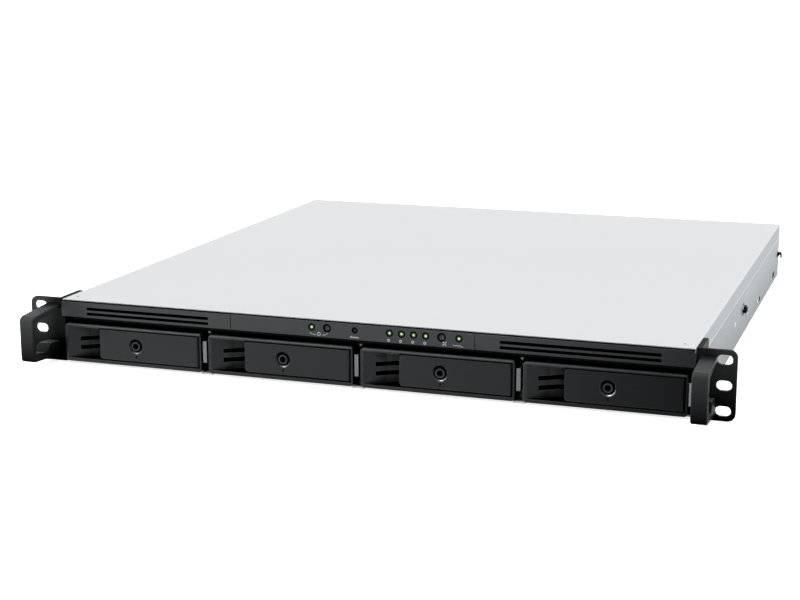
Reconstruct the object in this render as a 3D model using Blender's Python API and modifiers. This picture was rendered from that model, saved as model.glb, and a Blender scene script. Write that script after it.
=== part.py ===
"""A one-rack-unit, four-bay network storage enclosure, built from its separate pieces.

Sizes are in millimetres. Places are measured from the middle of the enclosure (x), the
front face of the rack ears (y, growing towards the rear) and the underside (z).
metres() turns them into the model's frame, whose origin is the middle of the footprint.
"""
import math

import bmesh
import bpy
from mathutils import Matrix, Vector

MM = 0.001
GAP = 0.3                       # air between two pieces that touch or slide on each other

# Overall size
OVERALL_WIDTH = 480.0
OVERALL_DEPTH = 492.0
HANDLE_REACH = 34.8             # how far the rack handles stand in front of the ears
BODY_WIDTH = 430.5
BODY_HEIGHT = 44.0
EAR_TOP = 44.2
EAR_BOTTOM = 0.2
COVER_FRONT = -0.8
BASE_FRONT = 3.5                # the base starts behind the trays' faces
REAR = OVERALL_DEPTH - HANDLE_REACH
SHEET = 1.0                     # steel sheet of the body
HALF = BODY_WIDTH / 2

# Side walls, which step inwards so that the cover's lips lie flush with them
COVER_LIP_BOTTOM = 33.3
STEP_TOP = COVER_LIP_BOTTOM - GAP
UPPER_WALL_OUT = HALF - SHEET - GAP + 0.05
UPPER_WALL_IN = UPPER_WALL_OUT - SHEET
UPPER_WALL_TOP = 42.6
INSIDE = UPPER_WALL_IN - GAP - 0.1   # half width of pieces that fit between the side walls

# Holes in each side wall: middle (y, z), length and height
SIDE_HOLES = (
    (224.0, 19.5, 5.0, 9.6),
    (180.0, 17.7, 2.4, 4.0),
    (322.0, 5.8, 4.0, 3.2),
    (421.0, 6.1, 4.0, 2.8),
)

# Rack ears and handles
EAR_THICK = 2.0
EAR_CORNER = 4.5
EAR_SLOT_X = 232.55
EAR_SLOT_Z = (6.35, 22.225, 38.1)
EAR_SLOT_LENGTH = 9.5
EAR_SLOT_HEIGHT = 6.2
FLANGE_LENGTH = 29.0
FLANGE_THICK = 3.0
HANDLE_X = (218.3, 228.2)

# Front strip: two vent bezels with the control panel between them
STRIP_FACE = -2.25
STRIP_BACK = -1.1
STRIP_DEPTH = 8.0
STRIP_BOTTOM = 32.2
STRIP_TOP = 42.6
STRIP_HALF = 215.3
STRIP_SEAMS = (-88.9, 78.2)
VENT_ROWS = ((34.0, 36.0), (37.4, 39.5))
LEFT_VENT = (-195.9, -105.2)
RIGHT_VENT = (94.4, 195.1)
LEFT_VENT_RIBS = (-172.1, -144.0, -120.1)
RIGHT_VENT_RIBS = (110.9, 134.3, 155.1, 181.0)
CONTROL_Z = 38.5
LIGHT_HOLE = 2.5
LIGHT_RADIUS = 1.5
POWER_LIGHT_X = -31.4
STATUS_LIGHT_X = 67.9
DRIVE_LIGHTS_X = (21.8, 29.9, 38.0, 46.0)
BUTTONS = {                     # place along the strip and radius of the hole
    "power_button": (-20.8, 2.9),
    "beep_off_button": (-1.7, 2.25),
    "locate_button": (56.5, 3.0),
}
BUTTON_FACE = -2.0
BUTTON_END = 3.2
BOARD_FRONT = 6.2               # front circuit board behind the control panel

# Drive bays and trays
BAY_PITCH = 107.3
BAY_CENTRES = tuple(BAY_PITCH * (i - 1.5) for i in range(4))
TRAY_FACE = -4.1
TRAY_HALF = 51.1
TRAY_BOTTOM = 1.5
TRAY_TOP = 27.7
TRAY_CORNER = 2.2
TRAY_BACK = 10.0                # back of the tray's front bezel
RIM_SIDE = 1.95
POCKET_BOTTOM = 4.1
POCKET_TOP = 25.9
GRIP_DEPTH = 8.0                # how far the finger grip runs in behind the latch
GRIP_SLOTS = ((8.9, 12.0), (15.1, 18.0))
RAIL_IN = 50.95
RAIL_OUT = 52.9
RAIL_BOTTOM = 1.4
RAIL_TOP = 8.2
RAIL_END = 164.0
STRAPS = ((8.0, 28.0), (84.0, 92.0), (152.0, 163.9))
LATCH_LEFT = -24.6
LATCH_RIGHT = 48.9
LATCH_FACE = -3.9
LATCH_THICK = 3.0
LATCH_BOTTOM = 5.1
LATCH_TOP = 25.3
HINGE_X = LATCH_RIGHT - LATCH_THICK / 2
HINGE_Y = LATCH_FACE + LATCH_THICK / 2
HINGE_PIN = 0.8
LOCK_X = 2.3
LOCK_Z = 15.5
LOCK_RADIUS = 3.9
LOCK_RING = 3.1                 # the barrel's raised middle, inside its dark groove

# Inside
DIVIDER_THICK = 0.8
BAR_Y = 4.4                     # the black bar above the trays
BACKPLANE_Y = 172.0
FAN_WALL_Y = 184.0
FAN_XS = (-140.0, 0.0, 140.0)
FAN_Z = 21.5
FAN_SIZE = 40.0
FAN_DEPTH = 20.0
FAN_BORE = 18.9
MAINBOARD = ((-206.0, 236.0, 5.0), (124.0, 452.0, 6.6))
STANDOFFS = tuple((x, y) for x in (-196.0, -40.0, 114.0) for y in (246.0, 440.0))
REAR_PANEL_Y = 454.2
PSU = ((128.0, 302.0, 1.5), (212.4, 455.2, 42.2))
PSU_WALL = 1.2
PSU_FAN_X = 169.0
INLET_X = 181.0
INLET_Z = 19.0
LAN_X = (6.0, 70.0)
USB_X = (78.0, 92.5)
EXPANSION_X = (99.0, 118.0)
SLOT_COVER = ((-99.0, 11.0), (-17.0, 31.0))
IO_SHIELD = ((2.0, 2.2), (122.0, 25.0))

PARTS_NAME = "nas_enclosure"


# ---------------------------------------------------------------- scene and materials

def clear_scene():
    for obj in list(bpy.data.objects):
        bpy.data.objects.remove(obj, do_unlink=True)
    for mesh in list(bpy.data.meshes):
        bpy.data.meshes.remove(mesh)


def new_collection(name):
    old = bpy.data.collections.get(name)
    if old is not None:
        bpy.data.collections.remove(old)
    collection = bpy.data.collections.new(name)
    bpy.context.scene.collection.children.link(collection)
    return collection


def material(name, colour, roughness, metallic=0.0):
    mat = bpy.data.materials.new(name)
    mat.use_nodes = True
    shader = mat.node_tree.nodes["Principled BSDF"]
    shader.inputs["Base Color"].default_value = (*colour, 1.0)
    shader.inputs["Roughness"].default_value = roughness
    shader.inputs["Metallic"].default_value = metallic
    mat.diffuse_color = (*colour, 1.0)
    return mat


def metres(x, y, z):
    """A place measured from the ears' front face, in the model's frame."""
    return Vector((x, y + HANDLE_REACH - OVERALL_DEPTH / 2, z)) * MM


def new_object(name, mesh, mat=None):
    obj = bpy.data.objects.new(name, mesh)
    if mat is None:
        CUTTERS.objects.link(obj)
        obj.hide_render = True
        obj.display_type = "WIRE"
    else:
        PARTS.objects.link(obj)
        mesh.materials.clear()
        mesh.materials.append(mat)
    return obj


# ---------------------------------------------------------------- shape makers

def add_box(bm, low, high):
    """A cube stretched between two corners; returns its vertices."""
    low, high = metres(*low), metres(*high)
    size = high - low
    place = Matrix.Translation((low + high) / 2) @ Matrix.Diagonal((*size, 1.0))
    return bmesh.ops.create_cube(bm, size=1.0, matrix=place)["verts"]


def boxes(name, corners, mat=None):
    """One object of one or more boxes that don't touch each other."""
    bm = bmesh.new()
    for low, high in corners:
        add_box(bm, low, high)
    return from_bmesh(name, bm, mat)


def from_bmesh(name, bm, mat=None):
    mesh = bpy.data.meshes.new(name)
    bm.to_mesh(mesh)
    bm.free()
    return new_object(name, mesh, mat)


def edges_along(bm, axis):
    """Straight edges that run along one axis."""
    found = []
    for edge in bm.edges:
        along = (edge.verts[1].co - edge.verts[0].co).normalized()
        if abs(along[axis]) > 0.999:
            found.append(edge)
    return found


def rounded_box(name, low, high, axis, radius, mat=None, segments=4, keep=None, front=0.0):
    """A box whose edges along one axis are rounded; keep picks some of them.

    front also rounds the edges of its front face.
    """
    bm = bmesh.new()
    add_box(bm, low, high)
    chosen = edges_along(bm, axis)
    if keep is not None:
        chosen = [e for e in chosen if keep((e.verts[0].co + e.verts[1].co) / 2)]
    bmesh.ops.bevel(bm, geom=chosen, offset=radius * MM, segments=segments, affect="EDGES", profile=0.5)
    if front:
        face_y = min(v.co.y for v in bm.verts)
        rim = [e for e in bm.edges if all(abs(v.co.y - face_y) < 1e-6 for v in e.verts)]
        bmesh.ops.bevel(bm, geom=rim, offset=front * MM, segments=2, affect="EDGES", profile=0.5)
    return from_bmesh(name, bm, mat)


def add_cylinder(bm, start, end, radius, segments=24):
    """A closed cylinder between two places."""
    start, end = metres(*start), metres(*end)
    turn = (end - start).to_track_quat("Z", "Y").to_matrix().to_4x4()
    place = Matrix.Translation((start + end) / 2) @ turn
    bmesh.ops.create_cone(
        bm, cap_ends=True, segments=segments, radius1=radius * MM, radius2=radius * MM,
        depth=(end - start).length, matrix=place)


def cylinders(name, rods, mat=None, segments=24):
    """One object of one or more cylinders, each (start, end, radius)."""
    bm = bmesh.new()
    for start, end, radius in rods:
        add_cylinder(bm, start, end, radius, segments)
    return from_bmesh(name, bm, mat)


def arc(centre, radius, start, end, steps=4):
    """Points on an arc, in degrees."""
    angles = [math.radians(start + (end - start) * i / steps) for i in range(steps + 1)]
    return [(centre[0] + radius * math.cos(a), centre[1] + radius * math.sin(a)) for a in angles]


def outline(name, points, axis, low, high, mat=None):
    """A flat outline made thick along one axis.

    The outline's points are (x, z) along Y, (y, z) along X and (x, y) along Z.
    """
    curve = bpy.data.curves.new(name, "CURVE")
    curve.dimensions = "2D"
    curve.fill_mode = "BOTH"
    curve.extrude = (high - low) / 2 * MM
    curve.render_resolution_u = 0
    spline = curve.splines.new("POLY")
    spline.points.add(len(points) - 1)
    for point, (u, v) in zip(spline.points, points):
        point.co = (u * MM, v * MM, 0.0, 1.0)
    spline.use_cyclic_u = True
    holder = bpy.data.objects.new(name + "_outline", curve)
    CUTTERS.objects.link(holder)
    bpy.context.view_layer.update()
    ready = holder.evaluated_get(bpy.context.evaluated_depsgraph_get())
    mesh = bpy.data.meshes.new_from_object(ready)
    bpy.data.objects.remove(holder)
    bpy.data.curves.remove(curve)
    middle = (low + high) / 2
    columns = {
        "X": ((0, 0, 1), (1, 0, 0), (0, 1, 0), metres(middle, 0, 0)),
        "Y": ((1, 0, 0), (0, 0, -1), (0, 1, 0), metres(0, middle, 0)),
        "Z": ((1, 0, 0), (0, 1, 0), (0, 0, 1), metres(0, 0, middle)),
    }[axis]
    place = Matrix.Identity(4)
    for row in range(3):
        place[row][:3] = columns[row]
    place.translation = columns[3]
    bm = bmesh.new()
    bm.from_mesh(mesh)
    bpy.data.meshes.remove(mesh)
    bmesh.ops.remove_doubles(bm, verts=bm.verts, dist=1e-6)
    bmesh.ops.transform(bm, matrix=place, verts=bm.verts)
    bmesh.ops.dissolve_limit(bm, angle_limit=0.001, verts=bm.verts, edges=bm.edges)
    bmesh.ops.recalc_face_normals(bm, faces=bm.faces)
    return from_bmesh(name, bm, mat)


def boolean(obj, other, operation):
    mod = obj.modifiers.new(operation.lower(), "BOOLEAN")
    mod.object = other
    mod.operation = operation
    mod.solver = "EXACT"


def cut(obj, *cutters):
    for cutter in cutters:
        boolean(obj, cutter, "DIFFERENCE")


def join(obj, *others):
    for other in others:
        boolean(obj, other, "UNION")


def soften(obj, width, segments=2, angle=40.0):
    """Round the sharp edges of the finished shape."""
    mod = obj.modifiers.new("bevel", "BEVEL")
    mod.width = width * MM
    mod.segments = segments
    mod.limit_method = "ANGLE"
    mod.angle_limit = math.radians(angle)


def set_origin(obj, x, y, z):
    """Move the object's origin to a place on its joint's axis."""
    point = metres(x, y, z)
    obj.data.transform(Matrix.Translation(-point))
    obj.location = point


def settle(obj):
    """Turn an object's modifiers into its mesh, so that copies can share it."""
    bpy.context.view_layer.update()
    ready = obj.evaluated_get(bpy.context.evaluated_depsgraph_get())
    mesh = bpy.data.meshes.new_from_object(ready)
    used = [mod.object for mod in obj.modifiers if mod.type == "BOOLEAN"]
    obj.modifiers.clear()
    obj.data = mesh
    for cutter in used:
        bpy.data.objects.remove(cutter)


def copy_of(obj, name, shift_x=0.0, shift_y=0.0):
    twin = bpy.data.objects.new(name, obj.data)
    PARTS.objects.link(twin)
    twin.location = obj.location + Vector((shift_x * MM, shift_y * MM, 0.0))
    return twin


def shade_round(obj):
    obj.data.shade_smooth()
    obj.data.set_sharp_from_angle(angle=math.radians(35.0))


# ---------------------------------------------------------------- sheet metal body

def wall_profile():
    """Right half of the base's section: floor, wall, inward step and upper wall."""
    return [
        (0.0, 0.0), (HALF, 0.0), (HALF, STEP_TOP), (UPPER_WALL_OUT, STEP_TOP),
        (UPPER_WALL_OUT, UPPER_WALL_TOP), (UPPER_WALL_IN, UPPER_WALL_TOP),
        (UPPER_WALL_IN, STEP_TOP - SHEET), (HALF - SHEET, STEP_TOP - SHEET),
        (HALF - SHEET, SHEET), (0.0, SHEET),
    ]


def mirrored(points):
    """A whole outline from its right half, which starts and ends at the middle."""
    return points + [(-u, v) for u, v in reversed(points) if u > 0]


def make_base():
    base = outline("chassis_base", mirrored(wall_profile()), "Y", BASE_FRONT, REAR, STEEL)
    posts = [((x, y, 0.5), (x, y, 4.7), 3.0) for x, y in STANDOFFS]
    join(base, cylinders("standoffs", posts, segments=10))
    chins = []
    for x in (-BAY_PITCH, 0.0, BAY_PITCH):
        chins.append(((x - 4.2, -1.2, 0.02), (x + 4.2, BASE_FRONT + 1.0, 1.12)))
    join(base, boxes("chins", chins))
    openings = []
    for side in (-1, 1):
        inner, outer = sorted((side * (HALF - 3.0), side * (HALF + 1.0)))
        for y, z, width, height in SIDE_HOLES:
            low = (inner, y - width / 2, z - height / 2)
            high = (outer, y + width / 2, z + height / 2)
            openings.append((low, high))
    cut(base, boxes("side_holes", openings))


def make_cover():
    lip_in = HALF - SHEET + 0.05
    top = BODY_HEIGHT
    corner = arc((HALF - 0.9, top - 0.9), 0.9, 0, 90, 2)
    half = [(0.0, top - SHEET), (lip_in, top - SHEET), (lip_in, COVER_LIP_BOTTOM)]
    half += [(HALF, COVER_LIP_BOTTOM)] + corner + [(0.0, top)]
    cover = outline("top_cover", mirrored(half), "Y", COVER_FRONT, REAR, COVER_PAINT)
    join(cover, boxes("cover_rear_lip", [((-INSIDE, REAR - SHEET, 38.6), (INSIDE, REAR, top - 0.4))]))


def make_rear_panel():
    """The rear wall as far as the power supply, with a notch for the sockets' shield."""
    (shield_left, _), (shield_right, shield_top) = IO_SHIELD
    right = PSU[0][0] - GAP
    points = [(-INSIDE, 1.3), (shield_left - GAP, 1.3), (shield_left - GAP, shield_top + GAP)]
    points += [(shield_right + GAP, shield_top + GAP), (shield_right + GAP, 1.3)]
    points += [(right, 1.3), (right, 42.4), (-INSIDE, 42.4)]
    panel = outline("rear_panel", points, "Y", REAR_PANEL_Y, REAR_PANEL_Y + SHEET, STEEL)
    front, back = REAR_PANEL_Y - 1.0, REAR_PANEL_Y + SHEET + 1.0
    holes = [((-96.0, front, 12.5), (-20.0, back, 29.5))]
    holes += slot_row(-203.0, -112.0, 7.0, 3.0, 10.0, 33.0, front, back)
    holes += slot_row(4.0, 118.0, 7.0, 3.0, 28.5, 36.0, front, back)
    cut(panel, boxes("rear_panel_holes", holes))
    low, high = SLOT_COVER
    plate_front = REAR_PANEL_Y + SHEET + GAP
    boxes("slot_cover", [((low[0], plate_front, low[1]), (high[0], plate_front + 0.8, high[1]))], NICKEL)


def make_io_shield():
    """The plate around the network, USB and expansion sockets."""
    (left, bottom), (right, top) = IO_SHIELD
    front, back = REAR_PANEL_Y, REAR_PANEL_Y + SHEET
    shield = boxes("io_shield", [((left, front, bottom), (right, back, top))], NICKEL)
    cut(shield, boxes("shield_holes", [
        ((LAN_X[0] - GAP, front - 1.0, 6.6), (LAN_X[1] + GAP, back + 1.0, 20.7)),
        ((USB_X[0] - GAP, front - 1.0, 6.6), (USB_X[1] + GAP, back + 1.0, 23.0)),
        ((EXPANSION_X[0] - GAP, front - 1.0, 6.6), (EXPANSION_X[1] + GAP, back + 1.0, 15.3)),
    ]))


def slot_row(start, end, pitch, width, low, high, front, back):
    """Upright slots of one width, evenly spaced, as cutter boxes."""
    lefts = [start + i * pitch for i in range(int((end - start) / pitch) + 1)]
    return [((left, front, low), (left + width, back, high)) for left in lefts]


def ear_outline(side):
    """The ear from the front; below the cover's lip it also covers the side wall's front edge."""
    inner, outer, radius = HALF - SHEET - 0.05, OVERALL_WIDTH / 2, EAR_CORNER
    points = [(inner, EAR_BOTTOM)]
    points += arc((outer - radius, EAR_BOTTOM + radius), radius, 270, 360)
    points += arc((outer - radius, EAR_TOP - radius), radius, 0, 90)
    points += [(HALF + GAP, EAR_TOP), (HALF + GAP, STEP_TOP), (inner, STEP_TOP)]
    return [(side * x, z) for x, z in points]


def make_rack_ear(side, name):
    ear = outline(name, ear_outline(side), "Y", 0.0, EAR_THICK, BLACK_PAINT)
    near, far = sorted((side * (HALF + GAP + 0.05), side * (HALF + GAP + FLANGE_THICK)))
    flange = rounded_box(
        name + "_flange", (near, 0.4, EAR_BOTTOM + 0.2), (far, FLANGE_LENGTH, EAR_TOP - 0.05),
        0, 2.0, segments=2, keep=lambda point: point.y > metres(0, FLANGE_LENGTH / 2, 0).y)
    join(ear, flange)
    for z in EAR_SLOT_Z:
        centre = side * EAR_SLOT_X
        cut(ear, rounded_box(
            name + "_slot", (centre - EAR_SLOT_LENGTH / 2, -1.0, z - EAR_SLOT_HEIGHT / 2),
            (centre + EAR_SLOT_LENGTH / 2, EAR_THICK + 1.0, z + EAR_SLOT_HEIGHT / 2), 1, 3.05))


def handle_outline():
    """The handle from the side: an open C whose ends stand on the ear."""
    outer = [(-GAP, 2.3), (-7.4, 2.6), (-18.8, 5.6), (-31.0, 6.3)]
    outer += [(y, z) for y, z in arc((-31.6, 9.5), 3.2, 270, 180, 3)]
    outer += [(-34.8, 34.4), (-34.2, 36.2), (-32.0, 37.7), (-GAP, 40.0)]
    inner = [(-GAP, 36.6), (-29.8, 33.5), (-30.8, 32.2), (-30.8, 12.9), (-29.8, 12.0)]
    inner += [(-18.6, 10.2), (-12.5, 15.0), (-GAP, 14.4)]
    return outer + inner


def make_rack_handle(side, name):
    low, high = sorted((side * HANDLE_X[0], side * HANDLE_X[1]))
    handle = outline(name, handle_outline(), "X", low, high, BLACK_PAINT)
    soften(handle, 0.6, segments=2, angle=55.0)
    shade_round(handle)


def make_rail_hook(side, name):
    """A bent hook near the rear of each side wall, for the rack's rear rail."""
    section = [(0.3, 17.4), (1.1, 17.4), (1.2, 19.2), (1.8, 19.5), (2.4, 18.9), (2.7, 16.2), (3.5, 16.4),
               (3.2, 19.6), (2.4, 21.0), (1.2, 21.3), (0.3, 20.6)]
    points = [(side * (HALF + out), z) for out, z in section]
    outline(name, points, "Y", 446.0, 453.0, BLACK_PAINT)


# ---------------------------------------------------------------- front strip

def make_strip_piece(name, start, end, round_left, round_right):
    """One length of the front strip: a face plate with a channel behind it."""

    def end_corner(point):
        middle = (start + end) / 2 * MM
        outer = (round_left and point.x < middle) or (round_right and point.x > middle)
        return outer and point.z > STRIP_BOTTOM * MM + 0.001

    piece = rounded_box(name, (start, STRIP_FACE, STRIP_BOTTOM), (end, STRIP_BACK, STRIP_TOP), 1, 2.4,
                        DARK_PLASTIC, keep=end_corner, front=0.25)
    low, high = max(start + 0.4, -INSIDE), min(end - 0.4, INSIDE)
    channel = boxes(name + "_channel", [
        ((low, STRIP_BACK - 0.4, STRIP_BOTTOM + 0.1), (high, STRIP_DEPTH, STRIP_BOTTOM + 1.2)),
        ((low, STRIP_BACK - 0.4, STRIP_TOP - 0.9), (high, STRIP_DEPTH, STRIP_TOP - 0.1))])
    join(piece, channel)
    return piece


def make_vent_bezel(name, start, end, vent, ribs, left_end):
    piece = make_strip_piece(name, start, end, left_end, not left_end)
    front, back = STRIP_FACE - 1.0, STRIP_BACK + 1.0
    slots = [((vent[0], front, low), (vent[1], back, high)) for low, high in VENT_ROWS]
    cut(piece, boxes(name + "_slots", slots))
    bars = [((x - 0.4, STRIP_BACK - 0.15, 33.6), (x + 0.4, 1.2, 40.2)) for x in ribs]
    join(piece, boxes(name + "_ribs", bars))


def make_control_panel():
    left, right = STRIP_SEAMS
    panel = make_strip_piece("control_panel", left + 0.15, right - 0.15, False, False)
    lights = [(POWER_LIGHT_X, LIGHT_HOLE), (STATUS_LIGHT_X, LIGHT_HOLE)]
    lights += [(x, LIGHT_HOLE) for x in DRIVE_LIGHTS_X]
    holes = lights + list(BUTTONS.values())
    cut(panel, cylinders("control_holes", [
        ((x, STRIP_FACE - 1.0, CONTROL_Z), (x, STRIP_BACK + 1.0, CONTROL_Z), r) for x, r in holes]))


def make_buttons():
    for name, (x, hole) in BUTTONS.items():
        rod = ((x, BUTTON_FACE, CONTROL_Z), (x, BUTTON_END, CONTROL_Z), hole - GAP)
        stem = cylinders(name, [rod], BLACK_PLASTIC)
        reach = hole + 1.4
        bar_low = (x - reach, STRIP_BACK + GAP, CONTROL_Z - 1.2)
        bar_high = (x + reach, STRIP_BACK + GAP + 1.0, CONTROL_Z + 1.2)
        dish = bmesh.new()
        centre = metres(x, BUTTON_FACE - 6.0, CONTROL_Z)
        turned = Matrix.Translation(centre) @ Matrix.Rotation(math.pi / 2, 4, "X")
        bmesh.ops.create_uvsphere(dish, u_segments=20, v_segments=12, radius=6.4 * MM, matrix=turned)
        join(stem, boxes(name + "_bar", [(bar_low, bar_high)]))
        cut(stem, from_bmesh(name + "_dish", dish))
        set_origin(stem, x, BUTTON_FACE, CONTROL_Z)


def make_light_pipes():
    front, back = BUTTON_FACE, BOARD_FRONT - GAP
    for name, x in (("power_light_pipe", POWER_LIGHT_X), ("status_light_pipe", STATUS_LIGHT_X)):
        rod = ((x, front, CONTROL_Z), (x, back, CONTROL_Z), LIGHT_RADIUS)
        pipe = cylinders(name, [rod], LIGHT_GREEN, 20)
        shade_round(pipe)
    low = (DRIVE_LIGHTS_X[0] - 1.8, 2.5, CONTROL_Z - 1.8)
    high = (DRIVE_LIGHTS_X[-1] + 1.8, back, CONTROL_Z + 1.8)
    bar = boxes("drive_light_pipes", [(low, high)], LIGHT_GREEN)
    join(bar, cylinders("drive_light_prongs", [
        ((x, front, CONTROL_Z), (x, 3.0, CONTROL_Z), LIGHT_RADIUS) for x in DRIVE_LIGHTS_X], segments=20))


def make_front_board():
    plate = ((-60.0, BOARD_FRONT, 33.8), (75.0, BOARD_FRONT + 1.6, 41.0))
    board = boxes("front_board", [plate], CIRCUIT_BOARD)
    low, high = CONTROL_Z - 2.2, CONTROL_Z + 2.2
    switches = [((x - 2.2, BOARD_FRONT - 1.3, low), (x + 2.2, BOARD_FRONT + 0.4, high))
                for x, _ in BUTTONS.values()]
    join(board, boxes("front_switches", switches))


def make_front_bar():
    """The black bar above the trays, with a tab down in front of each divider."""
    upright = ((-INSIDE, BAR_Y, 29.0), (INSIDE, BAR_Y + SHEET, 31.9))
    bar = boxes("front_crossbar", [upright], BLACK_PAINT)
    shelf = ((-INSIDE + 0.2, BAR_Y + 0.2, 29.05), (INSIDE - 0.2, 16.0, 30.0))
    join(bar, boxes("front_bar_shelf", [shelf]))
    tabs = [((i * BAY_PITCH - 1.8, BAR_Y + 0.05, 25.0), (i * BAY_PITCH + 1.8, BAR_Y + 0.95, 29.6))
            for i in (-1, 0, 1)]
    join(bar, boxes("front_bar_tabs", tabs))


# ---------------------------------------------------------------- drive bays

def make_divider(index):
    x = (index - 1) * BAY_PITCH
    half = DIVIDER_THICK / 2
    upright = ((x - half, BAR_Y + 1.3, 1.3), (x + half, 170.0, 28.7))
    plate = boxes(f"bay_divider_{index + 1}", [upright], STEEL)
    tongue = boxes("tongue", [((x - half + 0.02, -2.5, 8.52), (x + half - 0.02, 8.0, 22.78))])
    strip = boxes("strip", [((x - 1.7, -3.0, 8.5), (x + 1.7, -2.0, 22.8))])
    ledge = boxes("ledge", [((x - 2.0, 17.0, 8.5), (x + 2.0, 160.0, 9.5))])
    join(plate, tongue, strip, ledge)


def make_side_guide(side, name):
    """A ledge over the outer tray rails; the right one has a front strip as well."""
    low, high = sorted((side * 212.2, side * 213.95))
    guide = boxes(name, [((low, 5.0, 8.5), (high, 160.0, 9.5))], STEEL)
    if side > 0:
        join(guide, boxes("guide_tongue", [((213.15, -2.5, 8.52), (213.93, 9.0, 22.78))]))
        join(guide, boxes("guide_strip", [((212.4, -3.0, 8.5), (213.95, -2.0, 22.8))]))


def grip_plan():
    """The finger grip from above: a slope that runs in behind the latch's free end."""
    left = -TRAY_HALF + RIM_SIDE
    return [(left, -6.0), (-14.0, -6.0), (-14.0, GRIP_DEPTH), (-31.0, GRIP_DEPTH), (left, -3.7)]


def make_tray():
    """The first tray: front bezel, two low side rails and three straps, in the middle bay line."""
    tray = rounded_box(
        "tray_1", (-TRAY_HALF, TRAY_FACE, TRAY_BOTTOM), (TRAY_HALF, TRAY_BACK, TRAY_TOP), 1, TRAY_CORNER,
        DARK_PLASTIC, front=0.8)
    pocket = boxes("latch_pocket", [
        ((LATCH_LEFT - 0.3, -6.0, POCKET_BOTTOM), (LATCH_RIGHT + 0.7, 1.2, POCKET_TOP))])
    cut(tray, pocket, outline("grip_pocket", grip_plan(), "Z", POCKET_BOTTOM, POCKET_TOP))
    cut(tray, boxes("bezel_hollow", [((-12.0, 3.0, 4.0), (48.0, TRAY_BACK + 1.0, 26.0))]))
    slots = [((-42.3, -5.0, low), (-20.0, TRAY_BACK + 1.0, high)) for low, high in GRIP_SLOTS]
    cut(tray, boxes("grip_slots", slots))
    cut(tray, cylinders("hinge_holes", [
        ((HINGE_X, HINGE_Y, 2.7), (HINGE_X, HINGE_Y, POCKET_BOTTOM + 1.0), HINGE_PIN + GAP),
        ((HINGE_X, HINGE_Y, POCKET_TOP - 1.0), (HINGE_X, HINGE_Y, 27.2), HINGE_PIN + GAP)], segments=12))
    rails = []
    shoulders = []
    for side in (-1, 1):
        low, high = sorted((side * RAIL_IN, side * RAIL_OUT))
        rails.append(((low, 6.0, RAIL_BOTTOM), (high, RAIL_END, RAIL_TOP)))
        low, high = sorted((side * 49.0, side * (RAIL_OUT - 0.1)))
        shoulders.append(((low, 6.5, TRAY_BOTTOM + 0.3), (high, 16.0, RAIL_TOP - 0.1)))
    straps = [((-RAIL_IN - 0.5, a, RAIL_BOTTOM + 0.05), (RAIL_IN + 0.5, b, 2.3)) for a, b in STRAPS]
    join(tray, boxes("rails", rails), boxes("shoulders", shoulders), boxes("straps", straps))
    return tray


def make_latch():
    """The pull-out latch plate, with its hinge pin along the right end."""
    bm = bmesh.new()
    back = LATCH_FACE + LATCH_THICK
    add_box(bm, (LATCH_LEFT, LATCH_FACE, LATCH_BOTTOM), (LATCH_RIGHT, back, LATCH_TOP))
    middle = (LATCH_LEFT + LATCH_RIGHT) / 2 * MM
    left = [e for e in edges_along(bm, 1) if e.verts[0].co.x < middle]
    bmesh.ops.bevel(bm, geom=left, offset=2.0 * MM, segments=4, affect="EDGES", profile=0.5)
    right = [e for e in edges_along(bm, 2) if e.verts[0].co.x > middle]
    round_end = LATCH_THICK / 2 * 0.98 * MM
    bmesh.ops.bevel(bm, geom=right, offset=round_end, segments=4, affect="EDGES", profile=0.5)
    latch = from_bmesh("tray_1_latch", bm, DARK_PLASTIC)
    pin = ((HINGE_X, HINGE_Y, 3.1), (HINGE_X, HINGE_Y, 26.8), HINGE_PIN)
    join(latch, cylinders("hinge_pin", [pin], segments=12))
    cut(latch, cylinders("lock_hole", [
        ((LOCK_X, LATCH_FACE - 1.0, LOCK_Z), (LOCK_X, 1.0, LOCK_Z), LOCK_RADIUS + GAP)], segments=32))
    rim = bmesh.new()
    middle = metres(LOCK_X, LATCH_FACE, LOCK_Z)
    turned = Matrix.Translation(middle) @ Matrix.Rotation(math.pi / 2, 4, "X")
    hole = LOCK_RADIUS + GAP
    bmesh.ops.create_cone(rim, cap_ends=True, segments=32, radius1=(hole - 0.5) * MM,
                          radius2=(hole + 2.5) * MM, depth=3.0 * MM, matrix=turned)
    cut(latch, from_bmesh("lock_chamfer", rim))
    set_origin(latch, HINGE_X, HINGE_Y, 0.0)
    return latch


def make_lock():
    """The key lock in the latch: a turning barrel with a keyway."""
    face = LATCH_FACE + 0.2
    barrel = [((LOCK_X, face + 1.3, LOCK_Z), (LOCK_X, 0.9, LOCK_Z), LOCK_RADIUS)]
    lock = cylinders("tray_1_lock", barrel, BLACK_PLASTIC, 32)
    join(lock, cylinders("lock_face", [((LOCK_X, face, LOCK_Z), (LOCK_X, 0.5, LOCK_Z), LOCK_RING)]))
    cut(lock, cylinders("lock_dish", [((LOCK_X, face - 1.0, LOCK_Z), (LOCK_X, face + 0.9, LOCK_Z), 2.1)]))
    cut(lock, boxes("keyway", [
        ((LOCK_X - 0.5, face - 1.0, LOCK_Z - 1.8), (LOCK_X + 0.5, face + 3.0, LOCK_Z + 1.8))]))
    set_origin(lock, LOCK_X, face, LOCK_Z)
    return lock


def make_trays():
    """One tray, latch and lock, made once and copied into the four bays."""
    for master, ending in ((make_tray(), ""), (make_latch(), "_latch"), (make_lock(), "_lock")):
        settle(master)
        shade_round(master)
        for index in range(1, 4):
            copy_of(master, f"tray_{index + 1}{ending}", shift_x=BAY_CENTRES[index])
        master.location.x += BAY_CENTRES[0] * MM


# ---------------------------------------------------------------- inside

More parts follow.
